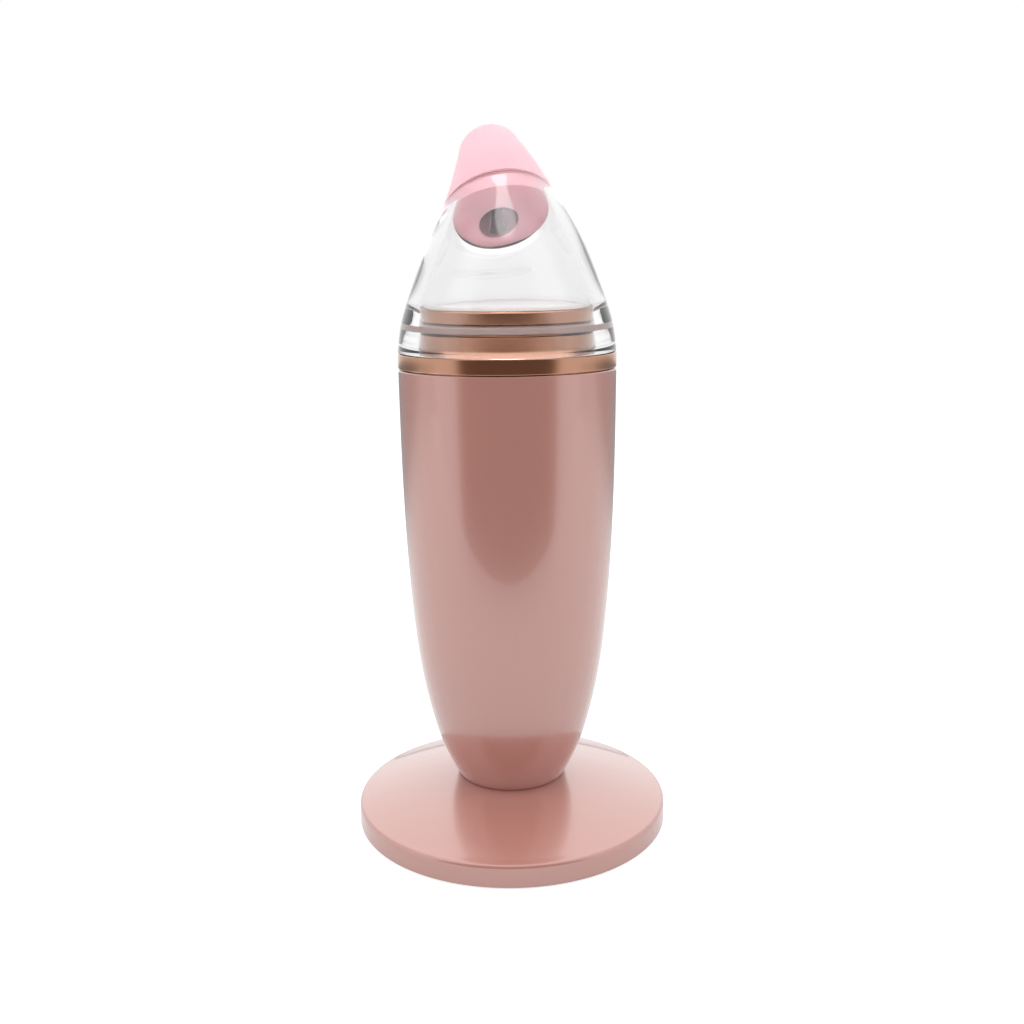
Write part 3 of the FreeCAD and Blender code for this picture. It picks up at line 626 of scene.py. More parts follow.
WHITE_PLASTIC = Finish("white_moulded_plastic", (0.74, 0.73, 0.70), (0.66, 0.65, 0.62), roughness=0.42,
                       scale=1800.0, bump=0.2, wear=0.1)
BLACK_PLASTIC = Finish("black_moulded_plastic", (0.018, 0.018, 0.018), (0.035, 0.035, 0.035), roughness=0.4,
                       scale=2000.0, bump=0.2)
STEEL = Finish("drawn_steel", (0.52, 0.52, 0.53), (0.36, 0.36, 0.37), roughness=0.3, swing=0.2, metallic=1.0,
               effect=Effect.TURNED, amount=0.5, scale=4000.0, bump=0.15, wear=0.3)
ZINC = Finish("zinc_plated_steel", (0.48, 0.49, 0.52), (0.36, 0.36, 0.40), roughness=0.32, swing=0.2,
              metallic=1.0, scale=600.0, amount=0.6, bump=0.1, wear=0.4)
BRONZE = Finish("sintered_bronze", (0.50, 0.30, 0.12), (0.34, 0.19, 0.08), roughness=0.42, metallic=1.0,
                scale=3000.0, bump=0.3)
FERRITE = Finish("dark_ferrite", (0.03, 0.03, 0.034), (0.06, 0.06, 0.066), roughness=0.6, scale=2500.0,
                 bump=0.4)
CELL_WRAP = Finish("blue_cell_wrap", (0.035, 0.13, 0.30), (0.05, 0.17, 0.38), roughness=0.28, scale=300.0,
                   amount=0.4, bump=0.1, coat=0.3)
BOARD = Finish("green_solder_mask", (0.008, 0.07, 0.03), (0.015, 0.12, 0.055), roughness=0.3,
               effect=Effect.FLAKE, amount=0.5, scale=700.0, bump=0.1)
LENS = Finish("warm_light_lens", (0.92, 0.84, 0.62), (0.85, 0.74, 0.50), roughness=0.3, scale=900.0,
              bump=0.05)
HOSE = Finish("milky_silicone_hose", (0.70, 0.66, 0.64), (0.78, 0.74, 0.72), roughness=0.4, scale=1200.0,
              bump=0.1, subsurface=0.3, subsurface_reach=0.0015)

NODE_FINISHES: dict[str, Finish] = {
    "stand_spigot": ZINC, "stand_weight": STEEL, "stand_cover": GREY_PLASTIC, "stand_screws": ZINC,
    "foot_cap": GREY_PLASTIC, "suction_hose": HOSE, "tact_switch": BLACK_PLASTIC, "charge_lights": LENS,
    "light_guide": LENS, "circuit_board": BOARD, "board_chips": BLACK_PLASTIC, "charging_socket": STEEL,
    "socket_tongue": BLACK_PLASTIC, "chassis_front": GREY_PLASTIC, "chassis_rear": GREY_PLASTIC,
    "chassis_screws": ZINC, "battery_cell": CELL_WRAP, "battery_tabs": STEEL, "motor_can": STEEL,
    "motor_end_cap": WHITE_PLASTIC, "motor_magnets": FERRITE, "motor_bushes": BRONZE, "motor_shaft": STEEL,
    "motor_armature": STEEL, "commutator": BRONZE, "pump_crank": WHITE_PLASTIC, "pump_case": WHITE_PLASTIC,
    "swash_plate": WHITE_PLASTIC, "pump_diaphragm": HOSE, "valve_plate": WHITE_PLASTIC,
    "pump_cover": WHITE_PLASTIC, "pump_screws": ZINC, "button_bezel": COPPER,
}


def dress_nodes() -> None:
    """Give each CAD node that keeps its shape its finish."""
    for name, finish in NODE_FINISHES.items():
        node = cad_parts[name]
        node.data.materials.clear()
        node.data.materials.append(finish.material())
        log.info("%s keeps its shape in %s", name, finish.name)


# ---- stand -------------------------------------------------------------------------------
@dataclass
class Stand:
    """Round weighted stand. Millimetres."""

    radius: float = 36.1
    gap: float = 0.3
    wall: float = 2.0
    cap_top: float = 11.84
    cap_curve: float = 194.0
    edge: float = 0.9
    seat_radius: float = 12.3
    seat_height: float = 11.06
    hole: float = 6.05
    boss: tuple[float, float] = (8.0, 10.3)
    boss_foot: float = 2.4
    boss_step: float = 4.5
    pad_radii: tuple[float, float] = (22.0, 33.8)
    pad_top: float = 0.85
    grooves: tuple[float, float, float] = (24.0, 33.0, 1.5)
    groove_depth: float = 0.25

    def cap(self, radius: float) -> float:
        """Height of the domed top at a radius.

        Args:
            radius: distance from the axis.

        Returns:
            The height.
        """
        return self.cap_top - radius ** 2 / self.cap_curve

    def disc(self) -> None:
        """The lacquered shell with its domed top and crisp edge."""
        rim = self.radius - self.edge
        top = [(r, self.cap(r)) for r in np.linspace(self.seat_radius, rim - 0.4, 28)]
        edge = corner([(rim - 0.4, self.cap(rim - 0.4), 0), (self.radius, self.cap(self.radius) + 0.12, 1.15),
                       (self.radius, 2.0, 0), (self.radius, self.gap, 0.35),
                       (self.radius - self.wall, self.gap, 0.1)])
        inner = self.radius - self.wall
        narrow, wide = self.boss
        foot, step = self.boss_foot, self.boss_step
        under = [(r, self.cap(r) - self.wall) for r in np.linspace(inner, wide, 12)]
        hub = [(wide, foot), (narrow, foot), (narrow, step), (self.hole, step),
               (self.hole, self.seat_height - 0.2), (self.hole + 0.2, self.seat_height),
               (self.seat_radius - 0.25, self.seat_height)]
        piece = lathe("stand_disc_shell", top + edge + under + hub, steps=256)
        finish_piece(piece, Body.STAND, LACQUER.material(), ["stand_disc"])

    def pad(self) -> None:
        """The rubber ring under the stand, with fine grip grooves."""
        (near, far), top, deep = self.pad_radii, self.pad_top, self.groove_depth
        soft = 0.15
        outline = [(near, top), (near, soft), (near + soft, 0.0)]
        for groove in np.arange(*self.grooves):
            outline += [(groove - 0.25, 0.0), (groove - 0.1, deep)]
            outline += [(groove + 0.1, deep), (groove + 0.25, 0.0)]
        outline += [(far - soft, 0.0), (far, soft), (far, top)]
        piece = lathe("stand_grip_ring", outline, steps=128)
        finish_piece(piece, Body.STAND, BLACK_RUBBER.material(), ["stand_pad"])

    def build(self) -> None:
        """Make the stand's showing pieces."""
        self.disc()
        self.pad()


# ---- handle ------------------------------------------------------------------------------
@dataclass
class Handle:
    """Lacquered handle with its trim ring, collar, seal and button. Millimetres."""

    outline: Outline = field(default_factory=lambda: [
        (12.6, 11.4), (16.2, 19.0), (18.34, 26.0), (20.48, 36.0), (22.17, 50.0), (23.31, 68.0),
        (23.89, 88.0), (24.05, 106.2)])
    wall: float = 1.6
    foot: float = 11.06
    ring_radius: float = 24.05
    ring_heights: tuple[float, float] = (106.45, 109.68)
    ring_skirt: tuple[float, float] = (20.5, 22.3)
    skirt_foot: float = 103.0
    collar_radius: float = 19.3
    collar_bore: float = 15.5
    collar_top: float = 118.6
    collar_foot: float = 104.2
    collar_step: tuple[float, float] = (20.3, 106.4)
    air_pipe: tuple[float, float] = (1.5, 2.6)
    pipe_foot: float = 110.0
    collar_floor: float = 116.2
    seal_groove: float = 1.25
    seal_height: float = 114.8
    seal_radius: float = 18.45
    seal_section: float = 1.2
    seal_half: float = 0.95
    seal_reach: float = 19.75
    pad_radius: float = 18.4
    pad_heights: tuple[float, float] = (117.4, 119.7)
    button_height: float = 84.0
    button_radius: float = 5.6
    button_face: float = 24.2
    button_flange: tuple[float, float] = (19.9, 20.7)
    dish_reach: float = 0.82
    dish_depth: float = 0.28
    mark_rise: tuple[float, float] = (24.1, 24.3)
    mark_radii: tuple[float, float] = (1.62, 1.98)
    mark_turn: tuple[float, float] = (120.0, 420.0)
    bar_half: float = 0.18
    bar_ends: tuple[float, float] = (0.7, 2.3)
    bezel_radius: float = 7.05
    light_heights: tuple[float, float, float] = (66.0, 70.0, 74.0)
    socket_height: float = 40.0
    socket_size: tuple[float, float] = (9.34, 3.66)
    vent_height: float = 30.0
    vent_places: tuple[float, float, float] = (-4.0, 0.0, 4.0)

    def along_back(self, name: str, outline: Outline, x: float, z: float,
                   steps: int = 64) -> bpy.types.Object:
        """Turn an outline about a line that runs back along Y.

        Args:
            name: the piece's name.
            outline: (radius, distance back) points.
            x: the line's place across.
            z: the line's height.
            steps: faces round the line.

        Returns:
            The new object.
        """
        place = Matrix.Translation((x * MM, 0, z * MM)) @ Matrix.Rotation(-math.pi / 2, 4, "X")
        return lathe(name, outline, steps=steps, place=place)

    def hole(self, radius: float, x: float, z: float) -> bpy.types.Object:
        """Round cutting tool through the back wall.

        Args:
            radius: the opening's radius.
            x: its place across.
            z: its height.

        Returns:
            The tool.
        """
        return self.along_back("tool", [(0, 14), (radius, 14), (radius, 28), (0, 28)], x, z)

    def slot_hole(self) -> bpy.types.Object:
        """Cutting tool for the charging socket: a slot with round ends.

        Returns:
            The tool.
        """
        width, height = self.socket_size
        radius = height / 2
        side = width / 2 - radius
        rim = []
        for turn in np.linspace(-90, 270, 49)[:-1]:
            a = math.radians(turn)
            x = (side if turn < 90 else -side) + radius * math.cos(a)
            rim.append((x, self.socket_height + radius * math.sin(a)))
        rings = [[Vector((x * MM, y * MM, z * MM)) for x, z in rim] for y in (14.0, 28.0)]
        return skin_rings("tool", rings)

    def shell(self) -> None:
        """The barrel-shaped shell with the openings in its back."""
        curve = smooth_through(self.outline, 72)
        outer = [(float(r), float(z)) for r, z in curve]
        inner = [(r - self.wall, z) for r, z in reversed(outer)]
        low, (wide, top) = outer[0], outer[-1]
        edge = corner([(wide, top - 0.4, 0), (wide, top, 0.15), (wide - self.wall, top, 0)], 4)
        foot = [(low[0] - self.wall, self.foot), (low[0] - 0.5, self.foot), (low[0] - 0.15, self.foot + 0.12)]
        piece = lathe("body_lacquered_shell", outer[:-1] + edge + inner[1:] + foot, steps=256)
        tools = [self.hole(self.bezel_radius, 0, self.button_height), self.slot_hole()]
        tools += [self.hole(0.95, 0, z) for z in self.light_heights]
        tools += [self.hole(0.7, x, self.vent_height) for x in self.vent_places]
        carve(piece, tools)
        turned_normals(piece)
        finish_piece(piece, Body.HANDLE, LACQUER.material(), ["body_shell"])

    def ring(self) -> None:
        """The copper ring under the dome."""
        low, high = self.ring_heights
        r = self.ring_radius
        bore = self.collar_radius + 0.1
        (near, far), foot = self.ring_skirt, self.skirt_foot
        outline = corner([(bore, low, 0.1), (near, low, 0), (near, foot, 0.1), (far, foot, 0.1),
                          (far, low, 0), (r, low, 0.22), (r, high, 0.28), (bore, high, 0.1)])
        piece = lathe("copper_trim_ring", outline, steps=256)
        finish_piece(piece, Body.HANDLE, RING_COPPER_PAINTED_LIGHT.material(), ["trim_ring"])

    def collar(self) -> None:
        """The copper collar with its seal groove and the recess for the pad."""
        r, top = self.collar_radius, self.collar_top
        under, over = self.seal_height - self.seal_groove, self.seal_height + self.seal_groove
        deep = self.seal_radius - self.seal_section - 0.03
        bore, seat, shelf = self.collar_bore, self.pad_radius + 0.1, self.pad_heights[0]
        (flange, step), foot, floor = self.collar_step, self.collar_foot, self.collar_floor
        (near, far), end = self.air_pipe, self.pipe_foot
        outline = corner([(bore, foot, 0.1), (flange, foot, 0.1), (flange, step, 0.1), (r, step, 0),
                          (r, under, 0.08), (deep, under, 0), (deep, over, 0), (r, over, 0.08),
                          (r, top, 0.42), (seat, top, 0.12), (seat, shelf, 0), (near, shelf, 0),
                          (near, end, 0), (far, end, 0.1), (far, floor, 0), (bore, floor, 0)])
        piece = lathe("copper_neck_collar", outline, steps=256)
        finish_piece(piece, Body.HANDLE, COPPER.material(), ["neck_collar"])

    def seal(self) -> None:
        """The soft ring round the collar, pressed flat where it meets the dome's bore."""
        turns = [2 * math.pi * k / 40 for k in range(40)]
        outline = [(min(self.seal_radius + 1.32 * self.seal_section * math.cos(t), self.seal_reach),
                    self.seal_height + self.seal_half * math.sin(t)) for t in turns]
        outline = [(max(r, self.seal_radius - self.seal_section), z) for r, z in outline]
        piece = lathe("rosy_seal_ring", outline, steps=256)
        finish_piece(piece, Body.HANDLE, SEAL.material(), ["chamber_seal"])

    def pad(self) -> None:
        """The foam filter pad with its pressed rim and shallow middle."""
        low, high = self.pad_heights
        r = self.pad_radius
        outline = corner([(0, low, 0), (r, low, 0), (r, high, 0.35), (r - 2.2, high, 0.25),
                          (r - 2.6, high - 0.35, 0.25), (0, high - 0.3, 0)])
        piece = lathe("filter_foam_pad", outline, steps=192)
        finish_piece(piece, Body.HANDLE, FOAM.material(), ["filter_pad"])

    def button(self) -> None:
        """The round button with a shallow dish and a plain power mark."""
        r = self.button_radius
        face, reach, depth = self.button_face, self.dish_reach, self.dish_depth
        back, flange = self.button_flange
        dish = [(r * t, face + depth * t ** 2) for t in np.linspace(0.0, reach, 12)]
        rim = corner([(r * reach, face + 0.19, 0), (r * 0.88, face + 0.3, 0.2), (r, face + 0.1, 0.3),
                      (r, flange, 0), (r + 1, flange, 0.1), (r + 1, back, 0.1), (0, back, 0)])
        piece = self.along_back("round_power_button", dish + rim[1:], 0, self.button_height, steps=96)
        finish_piece(piece, Body.BUTTON, BUTTON.material(), ["power_button"])
        self.power_mark()

    def power_mark(self) -> None:
        """A ring with a gap at its top and a short bar, raised a hair above the button."""
        low, high = self.mark_rise
        near, far = self.mark_radii
        turns = [math.radians(a) for a in np.linspace(*self.mark_turn, 49)]
        centre, half = self.button_height, self.bar_half
        section = [(near, low), (near, high), (far, high), (far, low)]
        rings = [[Vector((r * math.cos(t) * MM, y * MM, (centre + r * math.sin(t)) * MM)) for r, y in section]
                 for t in turns]
        arc = skin_rings("power_mark_ring", rings)
        section = [(-half, low), (-half, high), (half, high), (half, low)]
        rings = [[Vector((x * MM, y * MM, (centre + z) * MM)) for x, y in section] for z in self.bar_ends]
        bar = skin_rings("power_mark_bar", rings)
        for piece in (arc, bar):
            finish_piece(piece, Body.BUTTON, COPPER.material())

    def build(self) -> None:
        """Make the handle's showing pieces."""
        self.shell()
        self.ring()
        self.collar()
        self.seal()
        self.pad()
        self.button()


# ---- bent dome and head ------------------------------------------------------------------
@dataclass
class BentAxis:
    """Axis that leaves the handle upright and leans back. Millimetres and degrees."""

    azimuth: float = 15.0
    steps: int = 192

    def place(self, lean: float, height: float, tilt: float) -> Matrix:
        """Axes of a section: its X is level, its Z is square to the section.

        Args:
            lean: distance from the upright axis, the leaning way.
            height: height of the section's middle.
            tilt: how far its axis leans, in degrees.

        Returns:
            The section's axes.
        """
        turn = math.radians(self.azimuth)
        centre = Vector((-math.sin(turn) * lean, math.cos(turn) * lean, height)) * MM
        hinge = Vector((-math.cos(turn), -math.sin(turn), 0))
        return Matrix.Translation(centre) @ Matrix.Rotation(math.radians(tilt), 4, hinge)

    def ring(self, place: Matrix, radius: float, height: float = 0.0, longer: float = 0.0) -> Ring:
        """Ring of points about a section's axis.

        Args:
            place: the section's axes.
            radius: the ring's radius.
            height: how far along the section's Z.
            longer: what an oval ring adds to its radius, the leaning way.

        Returns:
            The ring's points, in metres.
        """
        turn = math.radians(self.azimuth)
        level = Vector((math.cos(turn), math.sin(turn), 0)) * radius
        leaning = Vector((-math.sin(turn), math.cos(turn), 0)) * (radius + longer)
        points = []
        for i in range(self.steps):
            t = 2 * math.pi * i / self.steps - turn
            points.append(place @ ((level * math.cos(t) + leaning * math.sin(t) + UP * height) * MM))
        return points

    def skin(self, stations: Sequence[tuple[float, float, float, float]], count: int) -> list[Ring]:
        """Rings of a smooth skin through circular stations.

        Args:
            stations: (lean, height, radius, tilt) of each section.
            count: number of rings.

        Returns:
            The rings in order.
        """
        turn = math.radians(self.azimuth)
        knots = []
        for lean, height, radius, tilt in stations:
            a = math.radians(tilt)
            knots.append((lean, height, radius, radius * math.cos(a), radius * math.sin(a)))
        out = Vector((-math.sin(turn), math.cos(turn), 0))
        level = Vector((math.cos(turn), math.sin(turn), 0))
        rings = []
        for lean, height, across, back, down in smooth_through(knots, count):
            centre = out * float(lean) + UP * float(height)
            ring = []
            for i in range(self.steps):
                t = 2 * math.pi * i / self.steps - turn
                ring.append((centre + level * (float(across) * math.cos(t))
                             + (out * float(back) - UP * float(down)) * math.sin(t)) * MM)
            rings.append(ring)
        return rings


@dataclass
class ClearDome:
    """Thick acrylic chamber, bent back at its top. Millimetres."""

    axis: BentAxis = field(default_factory=BentAxis)
    stations: list[tuple[float, float, float, float]] = field(default_factory=lambda: [
        (0, 110.1, 24.03, 0), (0, 116.0, 23.19, 0), (0, 122.0, 21.28, 0), (1.74, 131.0, 17.64, 15)])
    rim: tuple[float, float, float, float] = (5.38, 139.88, 12.81, 40)
    beyond: list[tuple[float, float, float, float]] = field(default_factory=lambda: [
        (8.46, 146.48, 9.8, 46), (13.52, 152.84, 7.03, 52)])
    cavity: list[tuple[float, float, float, float]] = field(default_factory=lambda: [
        (0, 119.5, 19.7, 0), (-0.1, 124.5, 17.7, 2.5), (1.2, 131.0, 14.9, 15)])
    skirt_bore: float = 19.7
    bore_heights: tuple[float, float, float] = (118.5, 115.0, 112.0)
    base: float = 109.7
    foot: Outline = field(default_factory=lambda: [(23.2, 0.0), (23.3, 0.0), (23.62, 0.03), (23.88, 0.16)])
    rim_bore: float = 11.3
    rim_land: float = 2.65
    edge_round: float = 0.35
    edge_steps: int = 5

    def full_skin(self) -> list[Ring]:
        """Rings of the whole outer skin, dome and head together."""
        return self.axis.skin(self.stations + [self.rim] + self.beyond, 96)

    def split_skin(self) -> tuple[list[Ring], list[Ring]]:
        """The skin's rings below and above the rim's plane, each ending near it.

        Returns:
            The rings below and the rings above.
        """
        lean, height, _, tilt = self.rim
        back = self.axis.place(lean, height, tilt).inverted()
        rings = self.full_skin()
        high = [max((back @ p).z for p in ring) for ring in rings]
        low = [min((back @ p).z for p in ring) for ring in rings]
        below = [ring for ring, z in zip(rings, high) if z < -0.45 * MM]
        above = [ring for ring, z in zip(rings, low) if z > 0.25 * MM]
        return below, above

    def round_edge(self, before: Ring, edge: Ring, after: Ring) -> list[Ring]:
        """Rings that round an edge between two faces, with one more ring on each face beside them.

        Args:
            before: a ring on the face that leads to the edge.
            edge: the edge's own ring.
            after: a ring on the face beyond the edge.

        Returns:
            The rings in order, from the first face to the second.
        """
        size = self.edge_round * MM
        rings: list[Ring] = [[] for _ in range(self.edge_steps + 3)]
        for a, b, c in zip(before, edge, after):
            start, end = (a - b).normalized() * size, (c - b).normalized() * size
            rings[0].append(b + start * 1.12)
            for k in range(self.edge_steps + 1):
                t = k / self.edge_steps
                rings[k + 1].append(b + start * (1 - t) ** 2 + end * t ** 2)
            rings[-1].append(b + end * 1.2)
        return rings

    def build(self) -> None:
        """Make the dome as one closed skin, outside up and inside down."""
        below, _ = self.split_skin()
        axis = self.axis
        lean, height, radius, tilt = self.rim
        top = axis.place(lean, height, tilt)
        upright = axis.place(0, 0, 0)
        soft = 0.25
        outside = [axis.ring(upright, self.skirt_bore, self.base + soft),
                   axis.ring(upright, self.skirt_bore + soft, self.base)]
        outside += [axis.ring(upright, r, self.base + up) for r, up in self.foot]
        outside += below
        outside += self.round_edge(below[-1], axis.ring(top, radius), axis.ring(top, self.rim_bore))
        bevel = ((0.22, 0.0), (0.15, 0.0), (0.0, 0.15), (0.0, 0.25))
        inside = [axis.ring(top, self.rim_bore + wider, -drop) for wider, drop in bevel]
        land = self.rim_land
        a = math.radians(tilt)
        throat = (lean - land * math.sin(a), height - land * math.cos(a), self.rim_bore, tilt)
        inside += list(reversed(axis.skin(self.cavity + [throat], 48)))
        inside += [axis.ring(upright, self.skirt_bore, z) for z in self.bore_heights]
        piece = skin_rings("clear_suction_dome", outside + inside, closed=True, sharp=40)
        finish_piece(piece, Body.CHAMBER, ACRYLIC.material(), ["clear_dome"])


@dataclass
class SiliconeHead:
    """Pink head with its plug, recess, mouth cup and clear inlet tube. Millimetres."""

    dome: ClearDome
    plug_radius: float = 11.2
    plug_depth: float = 2.1
    plug_tilt: float = 30.0
    recess_half: tuple[float, float] = (4.5, 5.6)
    recess_shift: float = 2.8
    recess_depth: float = 8.0
    lip: float = 2.0
    lip_bend: tuple[float, float] = (0.34, 1.32)
    cup_radius: float = 5.2
    cup_taper: float = 0.6
    cup_depth: float = 1.6
    tube_shift: float = 4.2
    tube_radius: float = 1.35
    tube_fit: float = 0.02
    tube_bore: float = 0.8
    tube_mouth: tuple[float, float] = (2.0, -0.8)
    flare_end: float = 3.5

    def down_face(self, distance: float) -> tuple[float, float]:
        """Lean and height of a point of the plug's face, so far down from its middle.

        Args:
            distance: how far down the face.

        Returns:
            The point's lean and height.
        """
        lean, height, _, tilt = self.dome.rim
        a, b = math.radians(tilt), math.radians(self.plug_tilt)
        return (lean - self.plug_depth * math.sin(a) + distance * math.cos(b),
                height - self.plug_depth * math.cos(a) - distance * math.sin(b))

    def tube_axis(self) -> tuple[Matrix, Matrix, float]:
        """Where the inlet tube runs.

        Returns:
            The tube's axes on the plug's face, the recess's axes beside them, and the tube's length.
        """
        start = self.down_face(self.tube_shift)
        mouth = self.dome.beyond[-1]
        b = math.radians(mouth[3])
        end = (mouth[0] - self.cup_depth * math.sin(b), mouth[1] - self.cup_depth * math.cos(b))
        run = (end[0] - start[0], end[1] - start[1])
        tilt = math.degrees(math.atan2(*run))
        axis = self.dome.axis
        hollow = axis.place(*self.down_face(self.recess_shift), tilt)
        return axis.place(*start, tilt), hollow, math.hypot(*run)

    def onto_face(self, ring: Ring, way: Vector, rise: float = 0.0) -> Ring:
        """Slide points onto the plug's tilted face.

        Args:
            ring: points to slide.
            way: the unit direction that they slide along.
            rise: how far inside the face they stop.

        Returns:
            The points on the face or a little inside it.
        """
        face = self.dome.axis.place(*self.down_face(0.0), self.plug_tilt)
        square = face.to_quaternion() @ UP
        return [p + way * ((face.translation - p).dot(square) + rise * MM) / way.dot(square) for p in ring]

    def plug_edge(self, rim: Matrix) -> list[Ring]:
        """Rings that round the plug's face into its side, less where the plug is shallow.

        Args:
            rim: the axes of the dome's rim.

        Returns:
            The rings in order.
        """
        axis, way = self.dome.axis, rim.to_quaternion() @ UP
        top = axis.ring(rim, self.plug_radius)
        room = [(p - q).length for p, q in zip(top, self.onto_face(top, way))]
        rings = []
        for inset, rise in ((0.35, 0.0), (0.1, 0.08), (0.0, 0.35)):
            ring = self.onto_face(axis.ring(rim, self.plug_radius - inset), way)
            rings.append([p + way * min(rise * MM, 0.6 * gap) for p, gap in zip(ring, room)])
        return rings

    def recess(self) -> list[Ring]:
        """Rings of the tube's bore and the oval recess, down to the plug's face.

        Returns:
            The rings in order.
        """
        axis = self.dome.axis
        along, hollow, run = self.tube_axis()
        way = along.to_quaternion() @ UP
        roof = self.recess_depth + (hollow.translation - along.translation).dot(way) / MM
        bore = self.tube_radius + self.tube_fit
        level, leaning = self.recess_half
        more = leaning - level
        rings = [axis.ring(along, bore, run - 1.0), axis.ring(along, bore, roof),
                 axis.ring(hollow, level - 0.5, self.recess_depth, more),
                 axis.ring(hollow, level, self.recess_depth - 0.5, more)]
        for wider, rise in ((0.0, 0.35), (0.08, 0.1), (0.35, 0.0)):
            rings.append(self.onto_face(axis.ring(hollow, level + wider, 0.0, more), way, rise))
        return rings

    def head(self) -> None:
        """The head as one skin: outside, lip, cup, bore, recess, face and plug."""
        axis = self.dome.axis
        lean, height, radius, tilt = self.dome.rim
        rim = axis.place(lean, height, tilt)
        mouth_lean, mouth_height, mouth_radius, mouth_tilt = self.dome.beyond[-1]
        mouth = axis.place(mouth_lean, mouth_height, mouth_tilt)
        _, above = self.dome.split_skin()
        rings = [axis.ring(rim, radius - 0.2, 0.02), axis.ring(rim, radius - 0.05, 0.1)]
        rings += above[:-1]
        inward, up = self.lip_bend
        cup, taper, floor = self.cup_radius, self.cup_taper, -self.cup_depth
        lip = corner([(mouth_radius, -0.05, 0), (mouth_radius - inward, up, 1.5),
                      (cup + taper, self.lip, 0.3), (cup, self.lip - 0.05, 0.2), (cup - taper, floor, 0.5),
                      (self.tube_radius + self.tube_fit, floor, 0)])
        rings += [axis.ring(mouth, r, z) for r, z in lip]
        rings += self.recess() + self.plug_edge(rim) + [axis.ring(rim, self.plug_radius, 0.02)]
        piece = skin_rings("pink_suction_head", rings, closed=True, sharp=50)
        finish_piece(piece, Body.HEAD, SILICONE.material(), ["silicone_head"])

    def tube(self) -> None:
        """The clear inlet tube with its flared end."""
        along, _, run = self.tube_axis()
        wide, start = self.tube_mouth
        outer, inner = self.tube_radius, self.tube_bore
        outline = corner([(inner + 0.3, start, 0.2), (wide, start, 0.25), (outer, self.flare_end, 0.4),
                          (outer, run, 0.1), (inner, run, 0.1), (inner, 2.0, 0.4)], 4)
        piece = lathe("clear_inlet_tube", outline, steps=72, place=along)
        finish_piece(piece, Body.HEAD, TUBE.material(), ["inlet_tube"])

    def painted_recess_shade(self) -> None:
        """A thin deeper pink skin of painted shade on the wall and roof of the recess, open where the tube
        passes.
        """
        axis = self.dome.axis
        along, hollow, _ = self.tube_axis()
        way = along.to_quaternion() @ UP
        level, leaning = self.recess_half
        more, roof = leaning - level, self.recess_depth
        up = roof + (hollow.translation - along.translation).dot(way) / MM
        rings = []
        for gap, drop in ((0.02, 0.02), (0.14, 0.14)):
            side = [axis.ring(along, self.tube_radius + 0.4, up - drop),
                    axis.ring(hollow, level - 0.5, roof - drop, more),
                    axis.ring(hollow, level - gap, roof - 0.5, more),
                    self.onto_face(axis.ring(hollow, level - gap, 0.0, more), way, 0.4)]
            rings += side if not rings else list(reversed(side))
        piece = skin_rings("pink_recess_painted_shade", rings, closed=True, sharp=60)
        finish_piece(piece, Body.HEAD, RECESS_PAINTED_SHADE.material())

    def build(self) -> None:
        """Make the head's showing pieces."""
        self.head()
        self.painted_recess_shade()
        self.tube()


